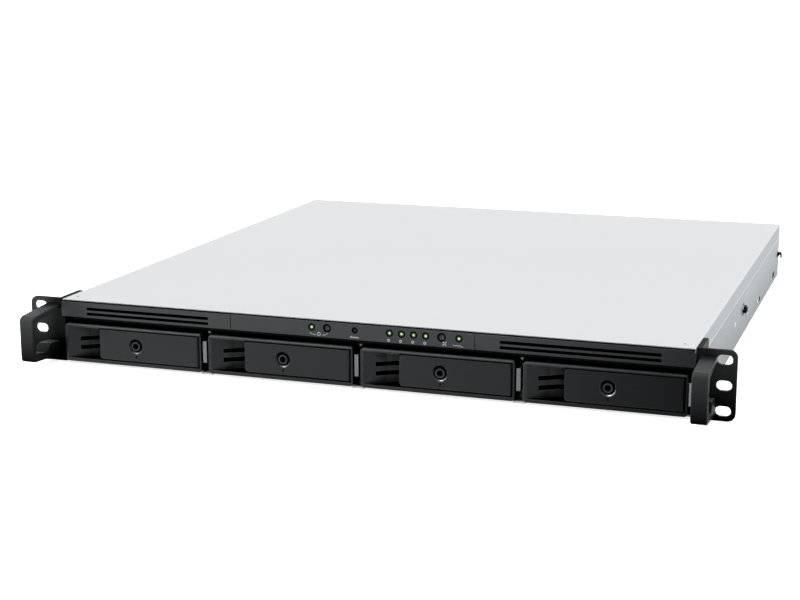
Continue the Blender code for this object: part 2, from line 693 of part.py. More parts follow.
def make_backplane():
    low, high = (-205.0, BACKPLANE_Y, 3.0), (205.0, BACKPLANE_Y + 1.6, 31.0)
    board = boxes("backplane", [(low, high)], CIRCUIT_BOARD)
    y = BACKPLANE_Y
    sockets = [((x - 20.0, y - 6.7, 5.0), (x + 20.0, y + 0.5, 11.0)) for x in BAY_CENTRES]
    join(board, boxes("drive_sockets", sockets))
    windows = [((x - 38.0, y - 1.0, 15.0), (x + 38.0, y + 3.0, 27.0)) for x in BAY_CENTRES]
    cut(board, boxes("air_windows", windows))


def make_fan_wall():
    plate = ((-INSIDE, FAN_WALL_Y, 1.3), (INSIDE, FAN_WALL_Y + SHEET, 42.4))
    wall = boxes("fan_wall", [plate], STEEL)
    cut(wall, cylinders("fan_openings", [
        ((x, FAN_WALL_Y - 1.0, FAN_Z), (x, FAN_WALL_Y + 2.0, FAN_Z), FAN_BORE - 0.4) for x in FAN_XS]))
    slots = []
    for start in (-106.0, 34.0):
        slots += slot_row(start, start + 68.0, 12.0, 6.0, 10.0, 33.0, FAN_WALL_Y - 1.0, FAN_WALL_Y + 2.0)
    cut(wall, boxes("fan_wall_slots", slots))


def make_fan_frame():
    front, back = FAN_WALL_Y + SHEET + GAP, FAN_WALL_Y + SHEET + GAP + FAN_DEPTH
    half = FAN_SIZE / 2
    frame = rounded_box("fan_1_frame", (-half, front, FAN_Z - half), (half, back, FAN_Z + half), 1, 2.5,
                        BLACK_PLASTIC, segments=2)
    bore = ((0.0, front - 1.0, FAN_Z), (0.0, back + 1.0, FAN_Z), FAN_BORE)
    cut(frame, cylinders("fan_bore", [bore], segments=28))
    cut(frame, cylinders("fan_screws", [
        ((sx * 16.0, front - 1.0, FAN_Z + sz * 16.0), (sx * 16.0, back + 1.0, FAN_Z + sz * 16.0), 1.7)
        for sx in (-1, 1) for sz in (-1, 1)], segments=8))
    across = ((-19.3, back - 1.8, FAN_Z - 1.2), (19.3, back - 0.2, FAN_Z + 1.2))
    upright = ((-1.2, back - 1.9, FAN_Z - 19.3), (1.2, back - 0.1, FAN_Z + 19.3))
    seat = ((0.0, back - 2.0, FAN_Z), (0.0, back, FAN_Z), 9.0)
    join(frame, boxes("fan_strut", [across]), boxes("fan_strut_up", [upright]))
    join(frame, cylinders("fan_seat", [seat], segments=20))
    return frame


def make_fan_rotor():
    front = FAN_WALL_Y + SHEET + GAP + 1.6
    hub = ((0.0, front, FAN_Z), (0.0, front + 15.4, FAN_Z), 9.5)
    rotor = cylinders("fan_1_rotor", [hub], BLACK_PLASTIC, 20)
    blades = bmesh.new()
    for index in range(5):
        verts = add_box(blades, (8.6, front + 2.2, FAN_Z - 0.6), (17.8, front + 13.4, FAN_Z + 0.6))
        middle = metres(0.0, front + 7.8, FAN_Z)
        pitch = Matrix.Rotation(math.radians(34.0), 4, "X")
        spin = Matrix.Rotation(math.radians(72.0 * index), 4, "Y")
        about = Matrix.Translation(middle) @ spin @ pitch @ Matrix.Translation(-middle)
        bmesh.ops.transform(blades, matrix=about, verts=verts)
    join(rotor, from_bmesh("fan_blades", blades))
    set_origin(rotor, 0.0, front, FAN_Z)
    return rotor


def make_fans():
    for master, ending in ((make_fan_frame(), "_frame"), (make_fan_rotor(), "_rotor")):
        settle(master)
        shade_round(master)
        for index in (1, 2):
            copy_of(master, f"fan_{index + 1}{ending}", shift_x=FAN_XS[index])
        if ending == "_rotor":
            back_to_supply = PSU[0][1] + 2.0 - FAN_WALL_Y - 2.9
            copy_of(master, "psu_fan_rotor", shift_x=PSU_FAN_X, shift_y=back_to_supply)
        master.location.x += FAN_XS[0] * MM


def make_mainboard():
    board = boxes("mainboard", [MAINBOARD], CIRCUIT_BOARD)
    holes = [((x, y, 4.0), (x, y, 8.0), 1.7) for x, y in STANDOFFS]
    cut(board, cylinders("board_holes", holes, segments=10))


def heatsink_outline(left, right, bottom, top, fins):
    """A comb: a base plate with upright fins, seen from the front."""
    base_top = bottom + 3.0
    pitch = (right - left - 1.0) / (fins - 1)
    points = [(left, bottom), (right, bottom)]
    for index in reversed(range(fins)):
        x = left + index * pitch
        points += [(x + 1.0, top), (x, top)]
        if index:
            points += [(x, base_top), (x - pitch + 1.0, base_top)]
    return points


def make_heatsink():
    outline("cpu_heatsink", heatsink_outline(-64.0, -4.0, 9.5, 33.0, 14), "Y", 296.0, 356.0, ALUMINIUM)


def make_memory():
    module = boxes("memory_module", [((-180.0, 300.0, 11.0), (-110.4, 330.0, 12.0))], CIRCUIT_BOARD)
    chips = [((x, 308.0, 11.8), (x + 12.0, 320.0, 13.2)) for x in (-175.0, -158.0, -144.0, -127.0)]
    join(module, boxes("memory_chips", chips))
    join(module, boxes("memory_socket", [((-183.0, 296.0, 6.9), (-107.4, 302.0, 12.6))]))


def make_power_supply():
    """The supply's U-shaped base, the cover that closes it, and the mains inlet."""
    (left, front, bottom), (right, back, top) = PSU
    wall = PSU_WALL
    inner_left, inner_right = left + wall + GAP, right - wall - GAP
    inner_top = top - wall - GAP
    base = boxes("psu_base", [((inner_left, front, bottom), (inner_right, back, inner_top))], NICKEL)
    cut(base, boxes("psu_inside", [
        ((left, front + wall, bottom + wall), (right, back - wall, top))]))
    cut(base, cylinders("psu_fan_opening", [
        ((PSU_FAN_X, front - 1.0, FAN_Z), (PSU_FAN_X, front + 2.0, FAN_Z), 16.8)]))
    holes = slot_row(134.0, 160.0, 6.0, 3.0, 8.0, 34.0, back - 2.0, back + 1.0)
    low = (INLET_X - 14.3, back - 2.0, INLET_Z - 10.6)
    high = (INLET_X + 14.3, back + 1.0, INLET_Z + 10.6)
    holes.append((low, high))
    cut(base, boxes("psu_rear_holes", holes))
    section = [(left, bottom), (left + wall, bottom), (left + wall, top - wall)]
    section += [(right - wall, top - wall), (right - wall, bottom), (right, bottom)]
    section += [(right, top), (left, top)]
    outline("psu_cover", section, "Y", front, back, NICKEL)
    inlet = rounded_box(
        "ac_inlet", (INLET_X - 14.0, 434.0, INLET_Z - 10.3), (INLET_X + 14.0, REAR - 0.3, INLET_Z + 10.3),
        1, 2.5, BLACK_PLASTIC, segments=3)
    cut(inlet, rounded_box(
        "ac_socket", (INLET_X - 12.2, 438.0, INLET_Z - 8.4), (INLET_X + 12.2, REAR + 2.0, INLET_Z + 8.4),
        1, 3.5, segments=2))


def make_harness():
    """The power lead from the supply to the mainboard, one smooth curve."""
    start, end = Vector((140.0, 301.4, 30.0)), Vector((104.0, 262.0, 7.2))
    pull = (Vector((140.0, 262.0, 31.0)), Vector((104.0, 262.0, 34.0)))
    count = 22
    curve = bpy.data.curves.new("psu_harness", "CURVE")
    curve.dimensions = "3D"
    curve.bevel_depth = 3.2 * MM
    curve.bevel_resolution = 2
    curve.use_fill_caps = True
    curve.render_resolution_u = 0
    spline = curve.splines.new("POLY")
    spline.points.add(count)
    for index, point in enumerate(spline.points):
        t = index / count
        u = 1 - t
        place = start * u ** 3 + pull[0] * 3 * t * u ** 2 + pull[1] * 3 * t * t * u + end * t ** 3
        point.co = (*metres(*place), 1.0)
    curve.materials.append(BLACK_PLASTIC)
    harness = bpy.data.objects.new("psu_harness", curve)
    PARTS.objects.link(harness)


def make_ports():
    back = REAR - 0.4
    lan = boxes("lan_ports", [((LAN_X[0], 434.0, 6.9), (LAN_X[1], back, 20.4))], NICKEL)
    centres = [LAN_X[0] + 8.0 + 16.0 * i for i in range(4)]
    sockets = [((x - 5.9, 443.0, 9.2), (x + 5.9, back + 1.0, 16.6)) for x in centres]
    cut(lan, boxes("lan_sockets", sockets))
    notches = [((x - 2.8, 444.0, 16.0), (x + 2.8, back + 2.0, 18.6)) for x in centres]
    cut(lan, boxes("lan_tab_notches", notches))
    usb = boxes("usb_ports", [((USB_X[0], 438.0, 6.9), (USB_X[1], back, 22.7))], NICKEL)
    cut(usb, boxes("usb_sockets", [
        ((USB_X[0] + 0.9, 443.0, z), (USB_X[1] - 0.9, back + 1.0, z + 5.4)) for z in (8.3, 15.9)]))
    port = boxes("expansion_port", [((EXPANSION_X[0], 440.0, 6.9), (EXPANSION_X[1], back, 15.0))], NICKEL)
    cut(port, boxes("expansion_socket", [
        ((EXPANSION_X[0] + 1.6, 446.0, 8.6), (EXPANSION_X[1] - 1.6, back + 1.0, 13.2))]))


def build():
    make_base()
    make_cover()
    make_rear_panel()
    make_io_shield()
    for side, word in ((-1, "left"), (1, "right")):
        make_rack_ear(side, "rack_ear_" + word)
        make_rack_handle(side, "rack_handle_" + word)
        make_rail_hook(side, "rail_hook_" + word)
        make_side_guide(side, "bay_guide_" + word)
    left, right = STRIP_SEAMS
    make_vent_bezel("vent_bezel_left", -STRIP_HALF, left - 0.15, LEFT_VENT, LEFT_VENT_RIBS, True)
    make_vent_bezel("vent_bezel_right", right + 0.15, STRIP_HALF, RIGHT_VENT, RIGHT_VENT_RIBS, False)
    make_control_panel()
    make_buttons()
    make_light_pipes()
    make_front_board()
    make_front_bar()
    for index in range(3):
        make_divider(index)
    make_trays()
    make_backplane()
    make_fan_wall()
    make_fans()
    make_mainboard()
    make_heatsink()
    make_memory()
    make_power_supply()
    make_harness()
    make_ports()


clear_scene()
PARTS = new_collection(PARTS_NAME)
CUTTERS = new_collection("cutters")

STEEL = material("zinc_steel", (0.46, 0.48, 0.50), 0.38, 0.9)
COVER_PAINT = material("light_grey_paint", (0.76, 0.77, 0.78), 0.6)
BLACK_PAINT = material("black_paint", (0.012, 0.012, 0.013), 0.45)
DARK_PLASTIC = material("charcoal_plastic", (0.032, 0.034, 0.036), 0.5)
BLACK_PLASTIC = material("black_plastic", (0.015, 0.015, 0.016), 0.4)
LIGHT_GREEN = material("green_light_pipe", (0.35, 0.72, 0.12), 0.3)
CIRCUIT_BOARD = material("green_circuit_board", (0.02, 0.11, 0.06), 0.45)
ALUMINIUM = material("aluminium", (0.78, 0.79, 0.80), 0.35, 1.0)
NICKEL = material("nickel_plate", (0.62, 0.62, 0.60), 0.3, 1.0)

build()
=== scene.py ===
"""The looks of a one-unit rack-mount storage enclosure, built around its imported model.

Everything is in metres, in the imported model's frame: +X to the right seen from the front,
+Y to the rear, +Z up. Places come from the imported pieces' own boxes. Sizes of small details
are written in millimetres times MM.
"""
import math

import bmesh
import bpy
from mathutils import Matrix, Vector


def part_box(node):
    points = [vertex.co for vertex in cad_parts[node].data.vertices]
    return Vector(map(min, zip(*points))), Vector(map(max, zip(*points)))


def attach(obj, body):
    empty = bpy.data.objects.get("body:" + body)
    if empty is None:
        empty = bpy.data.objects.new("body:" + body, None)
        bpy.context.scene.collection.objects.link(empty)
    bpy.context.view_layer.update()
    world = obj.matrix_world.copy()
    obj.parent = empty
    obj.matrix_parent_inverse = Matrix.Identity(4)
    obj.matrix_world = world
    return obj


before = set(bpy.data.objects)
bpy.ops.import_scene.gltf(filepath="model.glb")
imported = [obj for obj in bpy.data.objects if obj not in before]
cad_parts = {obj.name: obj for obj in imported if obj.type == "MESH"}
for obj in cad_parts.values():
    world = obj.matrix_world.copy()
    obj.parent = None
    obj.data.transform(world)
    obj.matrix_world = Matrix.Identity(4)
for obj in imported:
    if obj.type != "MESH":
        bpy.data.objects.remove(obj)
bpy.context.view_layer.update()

MM = 0.001
BAYS = (1, 2, 3, 4)
FANS = (1, 2, 3)
BAY_GAPS = (-107.3, 0.0, 107.3)          # the middles of the gaps between trays
BOARD_TOP = 6.6
REAR_FACE = 455.2                        # the outside of the rear wall
WALL = 213.4                             # the inside of a side wall, from the middle
WALL_FACE = 215.33
FRONT, REAR, UP = Vector((0, -1, 0)), Vector((0, 1, 0)), Vector((0, 0, 1))
LEFT, RIGHT = Vector((-1, 0, 0)), Vector((1, 0, 0))

# The studio's light: direction, cosine where a patch starts and where it is full, strength
STUDIO = (
    ((-0.1, 0.3, 0.95), -0.05, 0.8, 0.8),
    ((0.0, 1.0, 0.1), 0.1, 0.9, 0.55),
    ((-0.82, -0.57, -0.06), 0.66, 0.84, 1.15),
    ((-0.97, 0.2, 0.08), 0.90, 0.98, 1.6),
    ((0.48, -0.84, -0.25), 0.90, 0.99, 0.8),
    ((1.0, 0.15, 0.1), 0.2, 0.95, 0.7),
    ((0.0, 0.0, 1.0), -1.5, -1.0, 0.06),
)

scene = bpy.context.scene
scene.view_settings.view_transform = "Standard"


# ---------------------------------------------------------------- places

def low(node):
    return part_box(node)[0]


def high(node):
    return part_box(node)[1]


def centre(node):
    return (low(node) + high(node)) / 2


EAR_FACE = low("rack_ear_right").y
STRIP_FACE = low("control_panel").y


# ---------------------------------------------------------------- camera, light and floor

def make_camera():
    """A long lens, a little above the enclosure and to the right of its front."""
    azimuth, elevation, roll = (math.radians(a) for a in (19.11, 12.51, -0.09))
    camera = bpy.data.objects.new("camera", bpy.data.cameras.new("camera"))
    camera.data.lens = 72.49
    camera.data.sensor_width = 36.0
    camera.data.clip_start = 0.01
    turn = Matrix.Rotation(azimuth, 4, "Z") @ Matrix.Rotation(math.pi / 2 - elevation, 4, "X")
    place = Vector((0.3534, EAR_FACE - 0.9386, 0.2805))
    camera.matrix_world = Matrix.Translation(place) @ turn @ Matrix.Rotation(roll, 4, "Z")
    scene.collection.objects.link(camera)
    scene.camera = camera


def glow(nodes, links, ray, direction, start, end, strength):
    """A soft patch of light around one direction: none at start, all of it at end (cosines)."""
    dot = nodes.new("ShaderNodeVectorMath")
    dot.operation = "DOT_PRODUCT"
    dot.inputs[1].default_value = Vector(direction).normalized()
    links.new(ray, dot.inputs[0])
    patch = nodes.new("ShaderNodeMapRange")
    patch.interpolation_type = "SMOOTHSTEP"
    patch.inputs["From Min"].default_value = start
    patch.inputs["From Max"].default_value = end
    patch.inputs["To Max"].default_value = strength
    links.new(dot.outputs["Value"], patch.inputs["Value"])
    return patch.outputs["Result"]


def make_world():
    """White to the eye. What it lights gets a studio: bright above and behind, dark in front,
    with a softbox to the front left and a fill to the right."""
    world = bpy.data.worlds.new("studio")
    scene.world = world
    world.use_nodes = True
    nodes, links = world.node_tree.nodes, world.node_tree.links
    nodes.clear()
    out = nodes.new("ShaderNodeOutputWorld")
    mix = nodes.new("ShaderNodeMixShader")
    seen = nodes.new("ShaderNodeBackground")
    lit = nodes.new("ShaderNodeBackground")
    path = nodes.new("ShaderNodeLightPath")
    ray = nodes.new("ShaderNodeTexCoord").outputs["Generated"]
    total = None
    for direction, start, end, strength in STUDIO:
        patch = glow(nodes, links, ray, direction, start, end, strength)
        if total is None:
            total = patch
            continue
        add_up = nodes.new("ShaderNodeMath")
        add_up.operation = "ADD"
        links.new(total, add_up.inputs[0])
        links.new(patch, add_up.inputs[1])
        total = add_up.outputs[0]
    seen.inputs["Color"].default_value = (1.0, 1.0, 1.0, 1.0)
    seen.inputs["Strength"].default_value = 1.0
    lit.inputs["Color"].default_value = (0.965, 0.985, 1.0, 1.0)
    links.new(total, lit.inputs["Strength"])
    links.new(path.outputs["Is Camera Ray"], mix.inputs["Fac"])
    links.new(lit.outputs[0], mix.inputs[1])
    links.new(seen.outputs[0], mix.inputs[2])
    links.new(mix.outputs[0], out.inputs["Surface"])


def make_lights():
    sun = bpy.data.lights.new("overhead", "SUN")
    sun.energy = 1.7
    sun.angle = math.radians(50)
    holder = bpy.data.objects.new("overhead", sun)
    holder.rotation_euler = (math.radians(8), math.radians(-18), 0)
    scene.collection.objects.link(holder)


def make_floor():
    """Plain white paper with a light of its own, so that only a trace of shadow shows."""
    mat = surface("floor_paper", (0.9, 0.9, 0.9), 0.9, grain=300, bump=0.02)
    shader = mat.node_tree.nodes["Principled BSDF"]
    shader.inputs["Emission Color"].default_value = (1.0, 1.0, 1.0, 1.0)
    shader.inputs["Emission Strength"].default_value = 0.8
    bm = bmesh.new()
    bmesh.ops.create_grid(bm, x_segments=8, y_segments=8, size=30.0)
    floor = mesh_object("floor", bm, mat)
    floor.location.z = -0.0002
    floor.visible_diffuse = False
    floor.visible_glossy = False
    floor.visible_shadow = False


# ---------------------------------------------------------------- materials

def new_material(name):
    mat = bpy.data.materials.new(name)
    mat.use_nodes = True
    tree = mat.node_tree
    return mat, tree.nodes, tree.links, tree.nodes["Principled BSDF"]


def noise(nodes, links, coords, scale, detail=3.0, stretch=None):
    """A noise texture in the object's own coordinates; returns its Fac socket."""
    node = nodes.new("ShaderNodeTexNoise")
    node.inputs["Scale"].default_value = scale
    node.inputs["Detail"].default_value = detail
    vector = coords
    if stretch is not None:
        mapping = nodes.new("ShaderNodeMapping")
        mapping.inputs["Scale"].default_value = stretch
        links.new(coords, mapping.inputs["Vector"])
        vector = mapping.outputs["Vector"]
    links.new(vector, node.inputs["Vector"])
    return node.outputs["Fac"]


def spread(nodes, links, value, start, end, from_low=0.3, from_high=0.7):
    """A value's usual range mapped to another range."""
    node = nodes.new("ShaderNodeMapRange")
    node.inputs["From Min"].default_value = from_low
    node.inputs["From Max"].default_value = from_high
    node.inputs["To Min"].default_value = start
    node.inputs["To Max"].default_value = end
    links.new(value, node.inputs["Value"])
    return node.outputs["Result"]


def mix_colour(nodes, links, factor, first, second):
    node = nodes.new("ShaderNodeMix")
    node.data_type = "RGBA"
    links.new(factor, node.inputs["Factor"])
    for socket, value in ((node.inputs[6], first), (node.inputs[7], second)):
        if isinstance(value, tuple):
            socket.default_value = (*value, 1.0)
        else:
            links.new(value, socket)
    return node.outputs[2]


def position(nodes, links, axis):
    """The shaded place's X, Y or Z as the piece stands at rest; it rides with the piece."""
    place = nodes.new("ShaderNodeTexCoord")
    split = nodes.new("ShaderNodeSeparateXYZ")
    links.new(place.outputs["Object"], split.inputs[0])
    return split.outputs[axis]


def outward(nodes, links, axis):
    """One part of the surface's direction as the piece stands at rest."""
    place = nodes.new("ShaderNodeTexCoord")
    split = nodes.new("ShaderNodeSeparateXYZ")
    links.new(place.outputs["Normal"], split.inputs[0])
    return split.outputs[axis]


def combine(nodes, links, operation, first, second):
    node = nodes.new("ShaderNodeMath")
    node.operation = operation
    for socket, value in zip(node.inputs, (first, second)):
        if isinstance(value, float):
            socket.default_value = value
        else:
            links.new(value, socket)
    return node.outputs[0]


# Painted shade: 1 on faces that look forwards, 0 on all others.
def front_only(nodes, links):
    return spread(nodes, links, outward(nodes, links, "Y"), 1.0, 0.0, -0.5, -0.2)


def right_end_painted_shade(nodes, links):
    """Painted shade: the front is a little darker towards its right end."""
    return spread(nodes, links, position(nodes, links, "X"), 1.0, 0.5, 0.10, 0.215)


def strip_painted_shade(nodes, links):
    """Painted shade: the strip is black in its slots, on its ribs and on its top and bottom edges."""
    shallow = spread(nodes, links, position(nodes, links, "Y"), 1.0, 0.0,
                     STRIP_FACE + 0.45 * MM, STRIP_FACE + 0.8 * MM)
    shown = combine(nodes, links, "MULTIPLY", front_only(nodes, links), shallow)
    return combine(nodes, links, "MULTIPLY", shown, right_end_painted_shade(nodes, links))


def tray_painted_light(nodes, links):
    """Painted shade: black in the front's gaps and hollows. Its faces, grip, top edge and rails show; the
    top edge is made brighter as a painted highlight.
    """
    place, height = position(nodes, links, "Y"), position(nodes, links, "Z")
    near = spread(nodes, links, place, 1.0, 0.0, EAR_FACE - 1.8 * MM, EAR_FACE - 1.2 * MM)
    high_up = spread(nodes, links, height, 0.0, 1.0, 27.0 * MM, 27.3 * MM)
    top = combine(nodes, links, "MULTIPLY", high_up, near)
    shallow = spread(nodes, links, place, 1.0, 0.0, EAR_FACE - 2.6 * MM, EAR_FACE - 2.0 * MM)
    grip = spread(nodes, links, outward(nodes, links, "X"), 0.0, 1.0, 0.3, 0.5)
    grip_end = spread(nodes, links, place, 0.0, 0.9, EAR_FACE + 4 * MM, EAR_FACE + 5 * MM)
    face = combine(nodes, links, "MAXIMUM", combine(nodes, links, "MAXIMUM", shallow, grip_end), grip)
    face = combine(nodes, links, "MULTIPLY", face, front_only(nodes, links))
    # Painted highlight: the band above the top edge is up to 2.2 times as bright.
    rim = spread(nodes, links, height, 1.0, 2.2, 26.5 * MM, 27.0 * MM)
    shown = combine(nodes, links, "MULTIPLY", combine(nodes, links, "MAXIMUM", face, top), rim)
    shown = combine(nodes, links, "MULTIPLY", shown, right_end_painted_shade(nodes, links))
    rails = spread(nodes, links, place, 0.0, 1.0, EAR_FACE + 12 * MM, EAR_FACE + 14 * MM)
    return combine(nodes, links, "MAXIMUM", shown, rails)


def handle_painted_light(nodes, links, upper_share=0.22):
    """Painted shade: darker towards the bottom and on upward faces, except the top of the lower arm, which
    gets a painted highlight.
    """
    place = position(nodes, links, "Z")
    height = spread(nodes, links, place, 0.0, 1.15, 5 * MM, 41 * MM)
    up = outward(nodes, links, "Z")
    dimmed = spread(nodes, links, up, 1.0, upper_share, 0.5, 0.9)
    low_down = spread(nodes, links, place, 2.0, 0.0, 24 * MM, 25 * MM)
    arm = combine(nodes, links, "MULTIPLY", spread(nodes, links, up, 0.0, 1.0, 0.93, 0.98), low_down)
    return combine(nodes, links, "MAXIMUM", combine(nodes, links, "MULTIPLY", height, dimmed), arm)


def ear_painted_light(nodes, links):
    """Painted shade and highlight as on the handles, and painted shade beside the body."""
    aside = combine(nodes, links, "ABSOLUTE", position(nodes, links, "X"), 0.0)
    beside = spread(nodes, links, aside, 0.3, 1.0, 0.221, 0.233)
    return combine(nodes, links, "MULTIPLY", handle_painted_light(nodes, links, 0.08), beside)


def cover_sides(nodes, links, base):
    """Faces that turn sideways, the cover's lips, take the bluish grey of the zinc walls under them, chosen
    by which way they face.
    """
    turned = combine(nodes, links, "ABSOLUTE", outward(nodes, links, "X"), 0.0)
    return mix_colour(nodes, links, spread(nodes, links, turned, 0.0, 1.0, 0.5, 0.8), base,
                      (0.575, 0.61, 0.625))


def rim_painted_highlight(nodes, links):
    """Painted highlight: bright only where the sloping ring faces left, which is its right half."""
    return spread(nodes, links, outward(nodes, links, "X"), 1.0, 0.08, -0.32, 0.06)


def tinted(nodes, links, base, factor):
    """A colour made darker or lighter by a factor."""
    tint = nodes.new("ShaderNodeVectorMath")
    tint.operation = "SCALE"
    links.new(base, tint.inputs[0])
    links.new(factor, tint.inputs["Scale"])
    return tint.outputs[0]


def emboss(nodes, links, shader, height, strength, distance):
    """Fine relief, as a bump."""
    relief = nodes.new("ShaderNodeBump")
    relief.inputs["Strength"].default_value = strength
    relief.inputs["Distance"].default_value = distance
    links.new(height, relief.inputs["Height"])
    links.new(relief.outputs["Normal"], shader.inputs["Normal"])


def edge_mask(nodes, links, radius):
    """A mask for lighter edges, as wear and as painted highlight: where the surface turns an edge, from the
    rounded and the true normals.
    """
    rounded = nodes.new("ShaderNodeBevel")
    rounded.samples = 4
    rounded.inputs["Radius"].default_value = radius
    geometry = nodes.new("ShaderNodeNewGeometry")
    dot = nodes.new("ShaderNodeVectorMath")
    dot.operation = "DOT_PRODUCT"
    links.new(rounded.outputs["Normal"], dot.inputs[0])
    links.new(geometry.outputs["True Normal"], dot.inputs[1])
    return spread(nodes, links, dot.outputs["Value"], 1.0, 0.0, 0.86, 0.995)


def scaled(colour, factor):
    return tuple(min(1.0, c * factor) for c in colour)


LEAST_SHARE = 0.06                       # of a finish's colour that its darkest places keep


def surface(name, colour, roughness, metallic=0.0, grain=1800, bump=0.08, blotch=9, shade=0.06,
            rough_spread=0.06, edge=None, edge_radius=0.0006, brushed=None, specular=0.5, light=None,
            sides=None):
    """One finish: fine grain in bump and roughness, slow tone changes, and lighter edges, partly wear and
    partly painted highlight.

    light makes a factor of painted shade, in places painted highlight, that dims or brightens it; sides
    gives some faces their own colour.
    """
    mat, nodes, links, shader = new_material(name)
    coords = nodes.new("ShaderNodeTexCoord").outputs["Object"]
    slow = noise(nodes, links, coords, blotch, 4.0)
    base = mix_colour(nodes, links, spread(nodes, links, slow, 0.0, 1.0),
                      scaled(colour, 1.0 - shade), scaled(colour, 1.0 + shade))
    fine = noise(nodes, links, coords, grain, 2.0, brushed)
    links.new(spread(nodes, links, fine, roughness - rough_spread, roughness + rough_spread),
              shader.inputs["Roughness"])
    if edge is not None:
        wear_and_highlight = spread(nodes, links, noise(nodes, links, coords, 160, 3.0), 0.35, 1.0)
        mask = combine(nodes, links, "MULTIPLY", edge_mask(nodes, links, edge_radius), wear_and_highlight)
        base = mix_colour(nodes, links, mask, base, edge)
    if sides is not None:
        base = sides(nodes, links, base)
    shader.inputs["Specular IOR Level"].default_value = specular
    # Painted shade and painted highlight: the factor scales colour and specular.
    if light is not None:
        factor = light(nodes, links)
        base = tinted(nodes, links, base, combine(nodes, links, "MAXIMUM", factor, LEAST_SHARE))
        links.new(combine(nodes, links, "MULTIPLY", factor, specular),
                  shader.inputs["Specular IOR Level"])
    links.new(base, shader.inputs["Base Color"])
    shader.inputs["Metallic"].default_value = metallic
    emboss(nodes, links, shader, fine, bump, 0.0004)
    return mat


def zinc_material(name, dark, light, roughness, front_painted_shade=False):
    """Zinc-coated sheet: faint crystals, a rolling grain and a bluish grey.

    The last argument paints the front ends of the side walls black, as painted shade for the gaps beside the
    trays, and dims the walls a little towards the front and the bottom, as painted shade.
    """
    mat, nodes, links, shader = new_material(name)
    coords = nodes.new("ShaderNodeTexCoord").outputs["Object"]
    cells = nodes.new("ShaderNodeTexVoronoi")
    cells.inputs["Scale"].default_value = 210
    links.new(coords, cells.inputs["Vector"])
    grey = nodes.new("ShaderNodeRGBToBW")
    links.new(cells.outputs["Color"], grey.inputs["Color"])
    base = mix_colour(nodes, links, spread(nodes, links, grey.outputs[0], 0.0, 1.0, 0.1, 0.9), dark, light)
    # Lighter edges, as wear and as painted highlight.
    base = mix_colour(nodes, links, edge_mask(nodes, links, 0.0005), base, scaled(light, 1.15))
    metal = 0.85
    if front_painted_shade:
        # Painted shade: darker towards the bottom and towards the front.
        height = spread(nodes, links, position(nodes, links, "Z"), 0.72, 1.02, 3 * MM, 27 * MM)
        along = spread(nodes, links, position(nodes, links, "Y"), 0.80, 1.0,
                       EAR_FACE + 20 * MM, EAR_FACE + 230 * MM)
        base = tinted(nodes, links, base, combine(nodes, links, "MULTIPLY", height, along))
        # Painted shade: the front ends of the walls go black, for the dark in the gaps beside the trays.
        behind = spread(nodes, links, position(nodes, links, "Y"), 1.0, 0.0,
                        EAR_FACE + 11.5 * MM, EAR_FACE + 12 * MM)
        above = spread(nodes, links, position(nodes, links, "Z"), 0.0, 1.0, 1.3 * MM, 1.4 * MM)
        painted = combine(nodes, links, "MULTIPLY", behind, above)
        base = mix_colour(nodes, links, painted, base, (0.006, 0.006, 0.006))
        links.new(spread(nodes, links, painted, metal, 0.0, 0.0, 1.0), shader.inputs["Metallic"])
        links.new(spread(nodes, links, painted, 0.5, 0.1, 0.0, 1.0),
                  shader.inputs["Specular IOR Level"])
    else:
        shader.inputs["Metallic"].default_value = metal
    links.new(base, shader.inputs["Base Color"])
    rolled = noise(nodes, links, coords, 900, 2.0, (0.03, 1.0, 1.0))
    links.new(spread(nodes, links, rolled, roughness - 0.06, roughness + 0.06), shader.inputs["Roughness"])
    emboss(nodes, links, shader, rolled, 0.04, 0.0003)
    return mat


def board_material():
    """Circuit board: solder mask over a web of slightly raised copper tracks."""
    mat, nodes, links, shader = new_material("solder_mask")
    coords = nodes.new("ShaderNodeTexCoord").outputs["Object"]
    tracks = nodes.new("ShaderNodeTexVoronoi")
    tracks.feature = "DISTANCE_TO_EDGE"
    tracks.distance = "MANHATTAN"
    tracks.inputs["Scale"].default_value = 230
    links.new(coords, tracks.inputs["Vector"])
    line = spread(nodes, links, tracks.outputs["Distance"], 1.0, 0.0, 0.03, 0.07)
    base = mix_colour(nodes, links, line, (0.012, 0.075, 0.045), (0.03, 0.15, 0.085))
    links.new(base, shader.inputs["Base Color"])
    fine = noise(nodes, links, coords, 1500, 2.0)
    links.new(spread(nodes, links, fine, 0.3, 0.42), shader.inputs["Roughness"])
    emboss(nodes, links, shader, line, 0.3, 0.0001)
    return mat


def light_material(name, dim, bright, strength):
    """Clear plastic with light in it, a little uneven."""
    mat, nodes, links, shader = new_material(name)
    coords = nodes.new("ShaderNodeTexCoord").outputs["Object"]
    speck = noise(nodes, links, coords, 700, 2.0)
    base = mix_colour(nodes, links, spread(nodes, links, speck, 0.0, 1.0), dim, bright)
    links.new(base, shader.inputs["Base Color"])
    links.new(base, shader.inputs["Emission Color"])
    shader.inputs["Emission Strength"].default_value = strength
    links.new(spread(nodes, links, speck, 0.2, 0.3), shader.inputs["Roughness"])
    emboss(nodes, links, shader, speck, 0.03, 0.0002)
    return mat


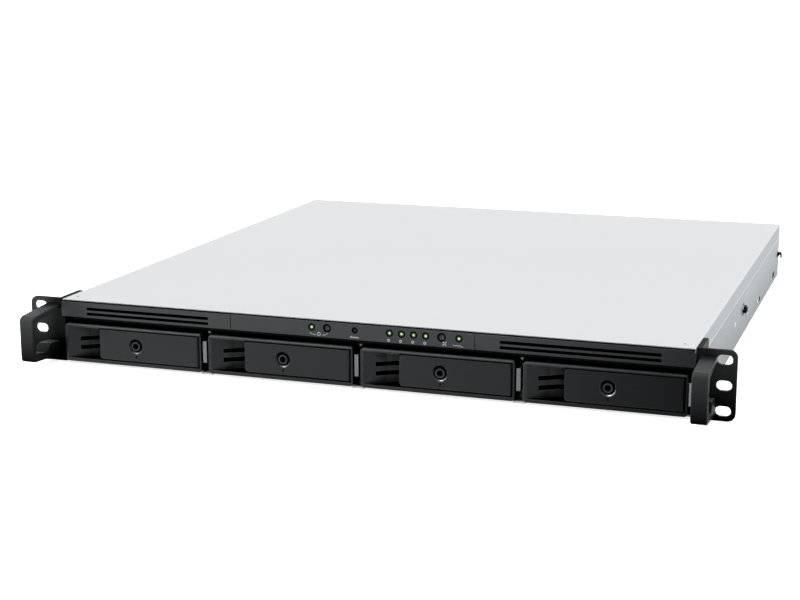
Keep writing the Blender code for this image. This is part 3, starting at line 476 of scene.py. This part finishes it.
def make_materials():
    return {
        # The edge colours give lighter edges: wear, and on the cover and the trays painted highlight.
        "cover": surface("cover_powder_coat", (0.475, 0.478, 0.482), 0.62, grain=1400, bump=0.10, blotch=3,
                         shade=0.012, edge=(0.95, 0.95, 0.95), edge_radius=0.0012, sides=cover_sides),
        "zinc": zinc_material("zinc_sheet", (0.50, 0.53, 0.545), (0.55, 0.575, 0.585), 0.42),
        "base_zinc": zinc_material("base_zinc", (0.50, 0.53, 0.545), (0.55, 0.575, 0.585), 0.42, True),
        # A pale zinc for the chins: painted reflection of the white floor.
        "painted_reflection_zinc": surface("pale_zinc_painted_reflection", (0.90, 0.93, 0.95), 0.5, 0.0, grain=1500, bump=0.05,
                               blotch=80, shade=0.08),
        "dull_zinc": zinc_material("dull_zinc", (0.28, 0.285, 0.29), (0.32, 0.325, 0.33), 0.5),
        "black_paint": surface("black_powder_coat", (0.013, 0.0145, 0.0145), 0.4, grain=900, bump=0.16,
                               blotch=14, shade=0.2, edge=(0.04, 0.045, 0.045), light=ear_painted_light),
        "handle_paint": surface("handle_coat", (0.026, 0.028, 0.0285), 0.38, grain=900, bump=0.16, blotch=14,
                                shade=0.15, edge=(0.06, 0.065, 0.065), light=handle_painted_light),
        # Black paint made darker and duller than the ears' coat, adding painted shade; it goes on the
        # crossbar deep under the strip and on the side hooks.
        "recess_paint": surface("recess_coat", (0.006, 0.006, 0.0065), 0.5, grain=900, bump=0.1, blotch=14,
                                shade=0.2, specular=0.1),
        "charcoal": surface("textured_charcoal", (0.0125, 0.0137, 0.0143), 0.34, grain=2200, bump=0.14,
                            blotch=10, shade=0.10, edge=(0.12, 0.125, 0.13), edge_radius=0.0008,
                            specular=0.42, light=tray_painted_light),
        "strip": surface("strip_charcoal", (0.044, 0.0485, 0.0505), 0.34, grain=2200, bump=0.12, blotch=7,
                         shade=0.08, edge=(0.085, 0.09, 0.092), light=strip_painted_shade),
        "black_plastic": surface("black_satin_plastic", (0.012, 0.012, 0.013), 0.36, grain=1600, bump=0.08,
                                 blotch=20, shade=0.15, edge=(0.05, 0.05, 0.05)),
        "gloss_black": surface("deep_black_plastic", (0.002, 0.002, 0.0022), 0.5, grain=900, bump=0.02,
                               blotch=30, shade=0.1, rough_spread=0.03, specular=0.03),
        "charcoal_button": surface("dark_button", (0.008, 0.009, 0.009), 0.4, grain=2200, bump=0.12,
                                   blotch=7, shade=0.08, specular=0.3),
        "button_face": surface("button_charcoal", (0.044, 0.0485, 0.0505), 0.34, grain=2200, bump=0.12,
                               blotch=7, shade=0.08),
        "board": board_material(),
        "aluminium": surface("satin_aluminium", (0.72, 0.73, 0.74), 0.34, 0.95, grain=1100, bump=0.08,
                             blotch=25, shade=0.04, edge=(0.85, 0.85, 0.86), brushed=(1.0, 0.04, 1.0)),
        "nickel": surface("nickel_sheet", (0.60, 0.60, 0.585), 0.3, 0.95, grain=1000, bump=0.05, blotch=18,
                          shade=0.05, edge=(0.75, 0.75, 0.73), brushed=(0.05, 1.0, 1.0)),
        "screw": surface("zinc_screw", (0.50, 0.50, 0.49), 0.34, 0.9, grain=2500, bump=0.08, blotch=90,
                         shade=0.12, edge=(0.68, 0.68, 0.66), edge_radius=0.0002),
        "black_screw": surface("blackened_screw", (0.02, 0.02, 0.021), 0.34, 0.6, grain=2500, bump=0.08,
                               blotch=90, shade=0.2, edge=(0.12, 0.12, 0.12), edge_radius=0.0002),
        "lock_rim": surface("lock_rim_metal", (0.55, 0.56, 0.57), 0.24, 1.0, grain=1800, bump=0.03,
                            blotch=120, shade=0.08, rough_spread=0.04, light=rim_painted_highlight),
        "lock_face": surface("lock_face_metal", (0.06, 0.062, 0.064), 0.4, 0.5, grain=1800, bump=0.05,
                             blotch=120, shade=0.08, rough_spread=0.04),
        "print": surface("grey_print", (0.55, 0.56, 0.57), 0.55, grain=3000, bump=0.03, blotch=200,
                         shade=0.08),
        "label": surface("blank_label", (0.86, 0.86, 0.85), 0.5, grain=2000, bump=0.03, blotch=40,
                         shade=0.03),
        "copper": surface("gold_contact", (0.83, 0.62, 0.25), 0.28, 1.0, grain=2400, bump=0.05, blotch=160,
                          shade=0.08),
        "chip": surface("chip_epoxy", (0.018, 0.018, 0.02), 0.48, grain=2600, bump=0.12, blotch=60,
                        shade=0.15, edge=(0.05, 0.05, 0.05), edge_radius=0.0002),
        "white_plastic": surface("ivory_connector", (0.72, 0.70, 0.62), 0.45, grain=1800, bump=0.05,
                                 blotch=60, shade=0.05),
        "lit": light_material("lit_core", (0.42, 0.60, 0.20), (0.62, 0.76, 0.38), 0.65),
        "lit_rim": light_material("lit_rim", (0.010, 0.060, 0.006), (0.018, 0.095, 0.010), 0.5),
    }


# ---------------------------------------------------------------- mesh helpers

def mesh_object(name, bm, mat):
    bmesh.ops.recalc_face_normals(bm, faces=bm.faces)
    mesh = bpy.data.meshes.new(name)
    bm.to_mesh(mesh)
    bm.free()
    mesh.shade_smooth()
    mesh.set_sharp_from_angle(angle=math.radians(32))
    mesh.materials.append(mat)
    obj = bpy.data.objects.new(name, mesh)
    scene.collection.objects.link(obj)
    return obj


def facing(direction, spin=0.0):
    """A turn that takes local +Z to a direction."""
    return Vector(direction).to_track_quat("Z", "Y").to_matrix().to_4x4() @ Matrix.Rotation(spin, 4, "Z")


def make_rings(bm, profile, segments, place):
    """One ring of corners about local Z for each (radius, height)."""
    rings = []
    for radius, height in profile:
        ring = []
        for index in range(segments):
            angle = 2 * math.pi * index / segments
            corner = Vector((radius * math.cos(angle), radius * math.sin(angle), height))
            ring.append(bm.verts.new(place @ corner))
        rings.append(ring)
    return rings


def join_rings(bm, lower, upper):
    for index in range(len(lower)):
        after = (index + 1) % len(lower)
        bm.faces.new((lower[index], lower[after], upper[after], upper[index]))


def lathe(bm, profile, segments, place):
    """Turn a profile of (radius, height) about local Z; both ends are closed."""
    rings = make_rings(bm, profile, segments, place)
    for lower, upper in zip(rings, rings[1:]):
        join_rings(bm, lower, upper)
    bm.faces.new(list(reversed(rings[0])))
    bm.faces.new(rings[-1])


def ring_mesh(bm, profile, segments, place):
    """Turn a closed profile of (radius, height) that doesn't reach the axis."""
    rings = make_rings(bm, profile, segments, place)
    for current, following in zip(rings, rings[1:] + rings[:1]):
        join_rings(bm, current, following)


def soft_box(bm, corner_low, corner_high, radius):
    """A box with all its edges rounded."""
    low_corner, high_corner = Vector(corner_low), Vector(corner_high)
    size = high_corner - low_corner
    place = Matrix.Translation((low_corner + high_corner) / 2) @ Matrix.Diagonal((*size, 1.0))
    verts = bmesh.ops.create_cube(bm, size=1.0, matrix=place)["verts"]
    edges = {e for v in verts for e in v.link_edges}
    width = min(radius, 0.45 * min(abs(s) for s in size))
    bmesh.ops.bevel(bm, geom=list(edges), offset=width, segments=2, affect="EDGES", profile=0.5)


def spot(x, y, z):
    """A place in millimetres: from the middle, behind the ears' front face, above the underside."""
    return Vector((x * MM, EAR_FACE + y * MM, z * MM))


def block(bm, corner_low, corner_high, radius=0.15):
    soft_box(bm, spot(*corner_low), spot(*corner_high), radius * MM)


def disc(bm, place, direction, radius, height, segments=24, rim=0.15):
    """A low round head that stands on a place and faces a direction."""
    rim = min(rim, height * 0.6, radius * 0.4)
    profile = [(radius, 0.0), (radius, height - rim), (radius - rim * 0.3, height - rim * 0.3),
               (radius - rim, height)]
    turn = Matrix.Translation(spot(*place)) @ facing(direction)
    lathe(bm, [(r * MM, h * MM) for r, h in profile], segments, turn)


def washer(bm, place, direction, inner, outer, height, segments=32, slope=0.0):
    """A flat ring, or one whose inner edge lies deeper by the slope."""
    profile = [(inner, -slope), (outer, 0.0), (outer, height), (inner, height - slope)]
    turn = Matrix.Translation(spot(*place)) @ facing(direction)
    ring_mesh(bm, [(r * MM, h * MM) for r, h in profile], segments, turn)


def stroke(bm, points, width, y, proud=0.05):
    """A printed line on a face that looks forwards."""
    for (x0, z0), (x1, z1) in zip(points, points[1:]):
        start, end = spot(x0, y, z0), spot(x1, y, z1)
        along = end - start
        angle = math.atan2(along.z, along.x)
        size = Matrix.Diagonal((along.length + width * MM, proud * MM, width * MM, 1.0))
        place = Matrix.Translation((start + end) / 2) @ Matrix.Rotation(-angle, 4, "Y") @ size
        bmesh.ops.create_cube(bm, size=1.0, matrix=place)


def screws(name, places, direction, radius, height, look, finish, body):
    """Screw heads, each with a black cross on its top as painted shade for the cross recess."""
    heads, cross_shadows = bmesh.new(), bmesh.new()
    for place in places:
        disc(heads, place, direction, radius, height)
        turn = Matrix.Translation(spot(*place) + direction * height * MM) @ facing(direction, 0.4)
        for long, short in ((1.1, 0.26), (0.26, 1.1)):
            size = Matrix.Diagonal((long * radius * MM, short * radius * MM, 0.06 * MM, 1.0))
            bmesh.ops.create_cube(cross_shadows, size=1.0, matrix=turn @ size)
    add(name, heads, look[finish], body)
    add(name + "_cross_shadows", cross_shadows, look["gloss_black"], body)


def polish(node, width):
    """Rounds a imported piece's edges for the eye and leaves its mesh as it is."""
    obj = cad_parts[node]
    obj.data.shade_smooth()
    weld = obj.modifiers.new("weld", "WELD")
    weld.merge_threshold = 1e-6
    flat = obj.modifiers.new("flat_faces", "DECIMATE")
    flat.decimate_type = "DISSOLVE"
    flat.angle_limit = math.radians(0.4)
    bevel = obj.modifiers.new("edges", "BEVEL")
    bevel.width = width
    bevel.segments = 2
    bevel.limit_method = "ANGLE"
    bevel.angle_limit = math.radians(38.0)
    bevel.use_clamp_overlap = True
    bevel.harden_normals = False
    normals = obj.modifiers.new("normals", "WEIGHTED_NORMAL")
    normals.keep_sharp = True


def paint(node, mat):
    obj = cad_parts[node]
    for slot_index in range(max(1, len(obj.material_slots))):
        if slot_index < len(obj.material_slots):
            obj.material_slots[slot_index].material = mat
        else:
            obj.data.materials.append(mat)


def add(name, bm, mat, body):
    """A new piece that rides on a body and takes a finish."""
    piece = mesh_object(name, bm, mat)
    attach(piece, body)


# ---------------------------------------------------------------- details on the front

TRAY_MIDDLES = {bay: centre(f"tray_{bay}").x / MM for bay in BAYS}
CONTROL_Z = centre("power_light_pipe").z / MM
LIGHTS = (-31.4, 21.8, 29.9, 38.0, 46.0, 67.9)
BUTTONS = {"power_button": (-20.8, 1.6, 2.75), "beep_off_button": (-1.7, 1.2, 2.1),
           "locate_button": (56.5, 1.75, 2.85)}
STRIP_Y = (STRIP_FACE - EAR_FACE) / MM


def dress_controls(look):
    sleeves, rims, cores = bmesh.new(), bmesh.new(), bmesh.new()
    for x in LIGHTS:
        washer(sleeves, (x, -1.2, CONTROL_Z), FRONT, 1.42, 2.46, 0.92)
        washer(rims, (x, -2.0, CONTROL_Z), FRONT, 0.68, 1.42, 0.06)
        disc(cores, (x, -2.0, CONTROL_Z), FRONT, 0.74, 0.14)
    add("light_sleeves", sleeves, look["gloss_black"], "chassis")
    add("light_rims", rims, look["lit_rim"], "chassis")
    add("light_cores", cores, look["lit"], "chassis")
    for name, (x, inner, outer) in BUTTONS.items():
        ring = bmesh.new()
        washer(ring, (x, -1.7, CONTROL_Z), FRONT, inner, outer, 0.36)
        add(name + "_ring", ring, look["gloss_black"], name)


def dress_symbols(look):
    """Plain marks under the lights and buttons; none of them is a letter or a number."""
    marks = bmesh.new()
    washer(marks, (-26.4, STRIP_Y, 34.3), FRONT, 0.75, 1.3, 0.05)
    stroke(marks, [(-32.6, 34.8), (-31.2, 34.0), (-28.6, 33.6)], 0.45, STRIP_Y)
    stroke(marks, [(-24.0, 33.8), (-21.6, 34.0), (-20.4, 35.2)], 0.45, STRIP_Y)
    stroke(marks, [(-4.3, 33.9), (-4.0, 34.2)], 1.0, STRIP_Y)
    stroke(marks, [(-3.0, 33.9), (0.6, 33.9)], 0.7, STRIP_Y)
    for x in LIGHTS[1:5]:
        washer(marks, (x - 0.6, STRIP_Y, 33.9), FRONT, 0.45, 0.95, 0.05)
    for spin in (0.8, 2.35):
        dx, dz = 1.3 * math.cos(spin), 1.3 * math.sin(spin)
        stroke(marks, [(58.5 - dx, 34.6 - dz), (58.5 + dx, 34.6 + dz)], 0.75, STRIP_Y)
    wave = [(64.2, 34.3), (65.3, 33.5), (66.3, 34.4), (67.3, 33.5), (68.4, 34.4), (69.4, 33.6),
            (70.3, 33.4)]
    stroke(marks, wave, 0.45, STRIP_Y)
    add("symbols", marks, look["print"], "chassis")


def dress_trays(look):
    for bay, middle in TRAY_MIDDLES.items():
        x = middle + 2.3
        # The lock's sloping rim gets a painted highlight on its right half.
        rim = bmesh.new()
        washer(rim, (x, -3.86, 15.5), FRONT, 4.3, 5.15, 0.06, slope=0.82)
        add(f"lock_rim_{bay}", rim, look["lock_rim"], f"tray_{bay}_latch")
        face = bmesh.new()
        washer(face, (x, -3.7, 15.5), FRONT, 2.15, 3.08, 0.06)
        add(f"lock_face_{bay}", face, look["lock_face"], f"tray_{bay}_lock")
        # Thin black strips round each latch: painted shadow in the gaps between the latch and the rim.
        latch_shadow = bmesh.new()
        block(latch_shadow, (middle - 24.6, -4.15, 25.45), (middle + 49.9, -3.9, 26.3), 0.04)
        block(latch_shadow, (middle + 49.05, -4.15, 4.5), (middle + 49.9, -3.9, 26.3), 0.04)
        block(latch_shadow, (middle - 24.6, -4.15, 4.05), (middle + 49.9, -3.9, 4.95), 0.04)
        add(f"latch_painted_shadow_{bay}", latch_shadow, look["gloss_black"], f"tray_{bay}")
        mark = bmesh.new()
        stroke(mark, [(x + 0.3, 7.6), (x + 0.3, 8.9)], 0.9, -3.9)
        add(f"lock_mark_{bay}", mark, look["gloss_black"], f"tray_{bay}_latch")
        places = [(middle + side * 44.5, y, 2.25) for side in (-1, 1) for y in (22.0, 88.0, 158.0)]
        screws(f"tray_screws_{bay}", places, UP, 1.7, 0.22, look, "black_screw", f"tray_{bay}")


def dress_ears(look):
    for side, word in ((-1, "left"), (1, "right")):
        away = LEFT if side < 0 else RIGHT
        flange = [(side * 218.5, y, z) for y in (10.0, 22.0) for z in (10.0, 34.0)]
        screws(f"ear_screws_{word}", flange, away, 2.6, 0.7, look, "black_screw", "chassis")
        handle = [(side * 223.2, 2.0, z) for z in (8.6, 38.4)]
        screws(f"handle_screws_{word}", handle, REAR, 2.4, 1.3, look, "black_screw", "chassis")
    # Pale caps on the chins between the trays: painted reflection of the white floor.
    caps = bmesh.new()
    for x in BAY_GAPS:
        block(caps, (x - 4.25, -1.3, 0.05), (x + 4.25, 2.0, 1.18), 0.1)
    add("chin_painted_reflections", caps, look["painted_reflection_zinc"], "chassis")
    # Black strips beside each divider's silver front edge: painted shadow in the gaps.
    edges = bmesh.new()
    for x in BAY_GAPS:
        block(edges, (x + 0.95, -3.25, 8.4), (x + 1.8, -2.2, 22.9), 0.05)
    add("divider_painted_shadows", edges, look["gloss_black"], "chassis")
    # A black strip under the cover's front edge: painted shadow in the gap above the strip.
    gap = bmesh.new()
    block(gap, (-215.0, -1.6, 42.45), (215.0, -0.9, 43.3), 0.05)
    add("strip_top_painted_shadow", gap, look["gloss_black"], "chassis")
    rivets = bmesh.new()
    for x in BAY_GAPS:
        disc(rivets, (x, 4.42, 27.4), FRONT, 0.9, 0.35, rim=0.3)
    add("front_rivets", rivets, look["screw"], "chassis")


# ---------------------------------------------------------------- details on the cover and the sides

def dress_sides(look):
    hole_shades, hooks, glints = bmesh.new(), bmesh.new(), bmesh.new()

    def plate(bm, side, inner, outer, y, z, length, height):
        low_x, high_x = sorted((side * inner, side * outer))
        block(bm, (low_x, y - length / 2, z - height / 2), (high_x, y + length / 2, z + height / 2), 0.08)

    for side in (-1, 1):
        # Black plates behind the side holes: painted shade for the dark inside.
        plate(hole_shades, side, WALL, WALL_FACE, 224.0, 19.2, 8.0, 5.6)
        plate(hole_shades, side, WALL, WALL_FACE, 324.0, 6.2, 9.0, 3.6)
        plate(hole_shades, side, WALL, WALL_FACE, 421.0, 6.7, 12.0, 4.8)
        plate(hooks, side, 215.0, 217.5, 224.0, 21.0, 6.0, 1.9)
        plate(hooks, side, 216.3, 218.1, 224.0, 18.9, 6.0, 3.4)
        plate(hooks, side, 215.2, 216.7, 224.0, 17.9, 6.0, 1.3)
        # Pale bits by the holes and hooks: painted highlights.
        plate(glints, side, 214.0, 215.36, 180.0, 17.7, 7.0, 3.4)
        plate(glints, side, 216.9, 218.2, 223.0, 16.6, 4.0, 2.6)
        plate(glints, side, 215.2, 215.8, 220.0, 21.6, 2.0, 2.4)
        plate(glints, side, 215.0, 215.4, 313.0, 6.9, 8.0, 3.2)
    add("side_hole_painted_shade", hole_shades, look["gloss_black"], "chassis")
    add("side_hooks", hooks, look["recess_paint"], "chassis")
    add("side_painted_highlights", glints, look["label"], "chassis")


def dress_cover(look):
    top = high("top_cover").z / MM
    places = [(-208.6, 8.7, top), (207.2, 8.0, top)]
    screws("cover_front_screws", places, UP, 1.5, 0.12, look, "screw", "top_cover")
    # A pale line along each side at the cover's lip: painted highlight on the seam.
    seam = bmesh.new()
    for side in (-1, 1):
        inner, outer = sorted((side * 214.3, side * 215.45))
        block(seam, (inner, 30.0, 32.6), (outer, 457.0, 33.2), 0.1)
    add("side_seam_painted_highlights", seam, look["label"], "chassis")


# ---------------------------------------------------------------- details on the rear

def dress_rear(look):
    places = ((-208.0, 6.0), (-208.0, 37.0), (-104.5, 36.0), (-6.0, 6.0), (-6.0, 32.0), (124.9, 32.0),
              (124.9, 6.0))
    panel = [(x, REAR_FACE, z) for x, z in places]
    screws("rear_screws", panel, REAR, 1.9, 0.9, look, "screw", "chassis")
    plate = [(x, 456.25, z) for x in (-96.0, -20.0) for z in (14.0, 28.0)]
    screws("slot_cover_screws", plate, REAR, 1.6, 0.6, look, "screw", "chassis")
    places = ((131.2, 5.0), (131.2, 37.5), (208.5, 5.0), (208.5, 37.0))
    supply = [(x, REAR_FACE, z) for x, z in places]
    screws("supply_screws", supply, REAR, 1.7, 0.9, look, "screw", "chassis")
    pins = bmesh.new()
    for x, z in ((174.0, 17.5), (188.0, 17.5), (181.0, 21.5)):
        block(pins, (x - 1.0, 437.8, z - 2.2), (x + 1.0, 451.0, z + 2.2), 0.3)
    add("mains_pins", pins, look["nickel"], "chassis")
    contacts, lamps, tongues = bmesh.new(), bmesh.new(), bmesh.new()
    for port in range(4):
        x = 14.0 + 16.0 * port
        for wire in range(8):
            left = x - 3.65 + wire * 1.0
            block(contacts, (left, 443.2, 14.6), (left + 0.35, 452.5, 15.0), 0.05)
        block(tongues, (x - 5.6, 442.9, 9.5), (x + 5.6, 443.3, 16.4))
        for side in (-1, 1):
            block(lamps, (x + side * 4.9 - 1.1, 456.5, 17.6), (x + side * 4.9 + 1.1, 456.95, 18.9))
    add("network_contacts", contacts, look["copper"], "chassis")
    add("network_lamps", lamps, look["lit_rim"], "chassis")
    for z in (8.3, 15.9):
        block(tongues, (80.4, 442.9, z + 2.6), (90.1, 455.0, z + 4.2))
    block(tongues, (102.6, 445.9, 10.3), (114.4, 455.0, 11.4))
    add("socket_tongues", tongues, look["chip"], "chassis")


# ---------------------------------------------------------------- details inside

def dress_boards(look):
    chips, caps, sockets, coils, pale = (bmesh.new() for _ in range(5))
    for x, y, width, depth, height in (
            (-150.0, 350.0, 24.0, 24.0, 2.0), (-100.0, 262.0, 14.0, 14.0, 1.4),
            (30.0, 300.0, 20.0, 20.0, 1.6), (40.0, 425.0, 17.0, 17.0, 1.5),
            (70.0, 330.0, 12.0, 18.0, 1.2), (-180.0, 400.0, 12.0, 8.0, 1.2),
            (-88.0, 400.0, 10.0, 10.0, 1.0), (98.0, 380.0, 14.0, 10.0, 1.3)):
        block(chips, (x - width / 2, y - depth / 2, 6.5), (x + width / 2, y + depth / 2, BOARD_TOP + height))
    for index in range(9):
        disc(caps, (-76.0 + index * 9.5, 280.0, BOARD_TOP), UP, 3.1, 9.0, rim=0.5)
    for index in range(6):
        disc(caps, (104.0, 310.0 + index * 10.0, BOARD_TOP), UP, 2.6, 7.0, rim=0.5)
    for index in range(5):
        left = -70.0 + index * 13.0
        block(coils, (left, 264.0, 6.5), (left + 9.0, 273.0, 11.5), 0.6)
    block(sockets, (-204.0, 262.0, 6.5), (-172.0, 268.0, 15.0))
    block(sockets, (-20.0, 246.0, 6.5), (24.0, 252.0, 15.0))
    for index in range(4):
        block(sockets, (-160.0 + index * 12.0, 240.0, 6.5), (-151.0 + index * 12.0, 248.0, 13.0))
    for middle in TRAY_MIDDLES.values():
        block(sockets, (middle - 17.0, 165.1, 7.0), (middle + 17.0, 165.4, 9.2))
        block(pale, (middle - 10.0, 173.5, 5.0), (middle + 10.0, 177.5, 11.0))
    block(pale, (96.0, 254.0, 6.5), (112.0, 270.0, 12.0))
    for x in (-184.0, -108.6):
        block(pale, (x, 295.5, 6.8), (x + 2.2, 303.0, 15.0))
    add("board_chips", chips, look["chip"], "chassis")
    add("board_capacitors", caps, look["aluminium"], "chassis")
    add("board_coils", coils, look["chip"], "chassis")
    add("board_sockets", sockets, look["black_plastic"], "chassis")
    add("board_connectors", pale, look["white_plastic"], "chassis")
    standoffs = [(x, y, BOARD_TOP) for x in (-196.0, -40.0, 114.0) for y in (246.0, 440.0)]
    screws("board_screws", standoffs, UP, 2.8, 1.2, look, "screw", "chassis")


def dress_fans(look):
    for fan in FANS:
        middle = centre(f"fan_{fan}_frame")
        x, z = middle.x / MM, middle.z / MM
        front = (low("fan_wall").y - EAR_FACE) / MM
        corners = [(x + dx, front, z + dz) for dx in (-16.0, 16.0) for dz in (-16.0, 16.0)]
        screws(f"fan_screws_{fan}", corners, FRONT, 2.3, 0.8, look, "screw", "chassis")
        sticker = bmesh.new()
        hub = (low(f"fan_{fan}_rotor").y - EAR_FACE) / MM
        washer(sticker, (x, hub, z), FRONT, 1.5, 6.5, 0.06)
        stroke(sticker, [(x - 8.2, z), (x - 7.4, z)], 1.0, hub, 0.08)
        add(f"fan_sticker_{fan}", sticker, look["label"], f"fan_{fan}_rotor")
    sticker = bmesh.new()
    middle = centre("psu_fan_rotor")
    hub = (low("psu_fan_rotor").y - EAR_FACE) / MM
    washer(sticker, (middle.x / MM, hub, middle.z / MM), FRONT, 1.5, 6.5, 0.06)
    add("psu_fan_sticker", sticker, look["label"], "psu_fan_rotor")
    plate = bmesh.new()
    block(plate, (142.0, 335.0, 42.1), (200.0, 405.0, 42.28), 0.05)
    add("supply_label", plate, look["label"], "chassis")
    clips = bmesh.new()
    for y in (312.0, 340.0):
        block(clips, (-70.0, y - 1.0, 8.0), (-64.4, y + 1.0, 12.0), 0.3)
        block(clips, (-3.6, y - 1.0, 8.0), (2.0, y + 1.0, 12.0), 0.3)
    add("heatsink_clips", clips, look["nickel"], "chassis")


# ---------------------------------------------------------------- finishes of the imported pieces

def dress_packed_pieces(look):
    finishes = {
        "top_cover": ("cover", 0.35), "chassis_base": ("base_zinc", 0.2), "rear_panel": ("zinc", 0.12),
        "fan_wall": ("zinc", 0.12), "front_crossbar": ("recess_paint", 0.15),
        "rack_ear_left": ("black_paint", 0.35), "rack_ear_right": ("black_paint", 0.35),
        "rack_handle_left": ("handle_paint", 0.0), "rack_handle_right": ("handle_paint", 0.0),
        "rail_hook_left": ("black_paint", 0.2), "rail_hook_right": ("black_paint", 0.2),
        "vent_bezel_left": ("strip", 0.12), "vent_bezel_right": ("strip", 0.12),
        "control_panel": ("strip", 0.12),
        "power_button": ("button_face", 0.1), "beep_off_button": ("charcoal_button", 0.1),
        "locate_button": ("button_face", 0.1), "ac_inlet": ("black_plastic", 0.25),
        "psu_harness": ("black_plastic", 0.0), "psu_fan_rotor": ("black_plastic", 0.15),
        "power_light_pipe": ("lit_rim", 0.1), "status_light_pipe": ("lit_rim", 0.1),
        "drive_light_pipes": ("lit_rim", 0.1), "io_shield": ("nickel", 0.12),
        "front_board": ("board", 0.1), "backplane": ("board", 0.1), "mainboard": ("board", 0.1),
        "memory_module": ("board", 0.1), "cpu_heatsink": ("aluminium", 0.1), "slot_cover": ("nickel", 0.15),
        "psu_base": ("nickel", 0.2), "psu_cover": ("nickel", 0.3),
        "lan_ports": ("nickel", 0.15), "usb_ports": ("nickel", 0.15), "expansion_port": ("nickel", 0.15),
        # The right bay guide takes a brighter zinc than the left one: painted light against the handle's
        # shade.
        "bay_guide_left": ("dull_zinc", 0.1), "bay_guide_right": ("zinc", 0.12),
    }
    for index in BAYS:
        finishes[f"tray_{index}"] = ("charcoal", 0.25)
        finishes[f"tray_{index}_latch"] = ("charcoal", 0.3)
        finishes[f"tray_{index}_lock"] = ("gloss_black", 0.12)
    for index in FANS:
        finishes[f"fan_{index}_frame"] = ("black_plastic", 0.3)
        finishes[f"fan_{index}_rotor"] = ("black_plastic", 0.15)
        finishes[f"bay_divider_{index}"] = ("dull_zinc", 0.12)
    for node, (finish, width) in finishes.items():
        paint(node, look[finish])
        if width:
            polish(node, width * MM)


def main():
    look = make_materials()
    make_camera()
    make_world()
    make_lights()
    make_floor()
    dress_packed_pieces(look)
    dress_controls(look)
    dress_symbols(look)
    dress_trays(look)
    dress_ears(look)
    dress_sides(look)
    dress_cover(look)
    dress_rear(look)
    dress_boards(look)
    dress_fans(look)


main()
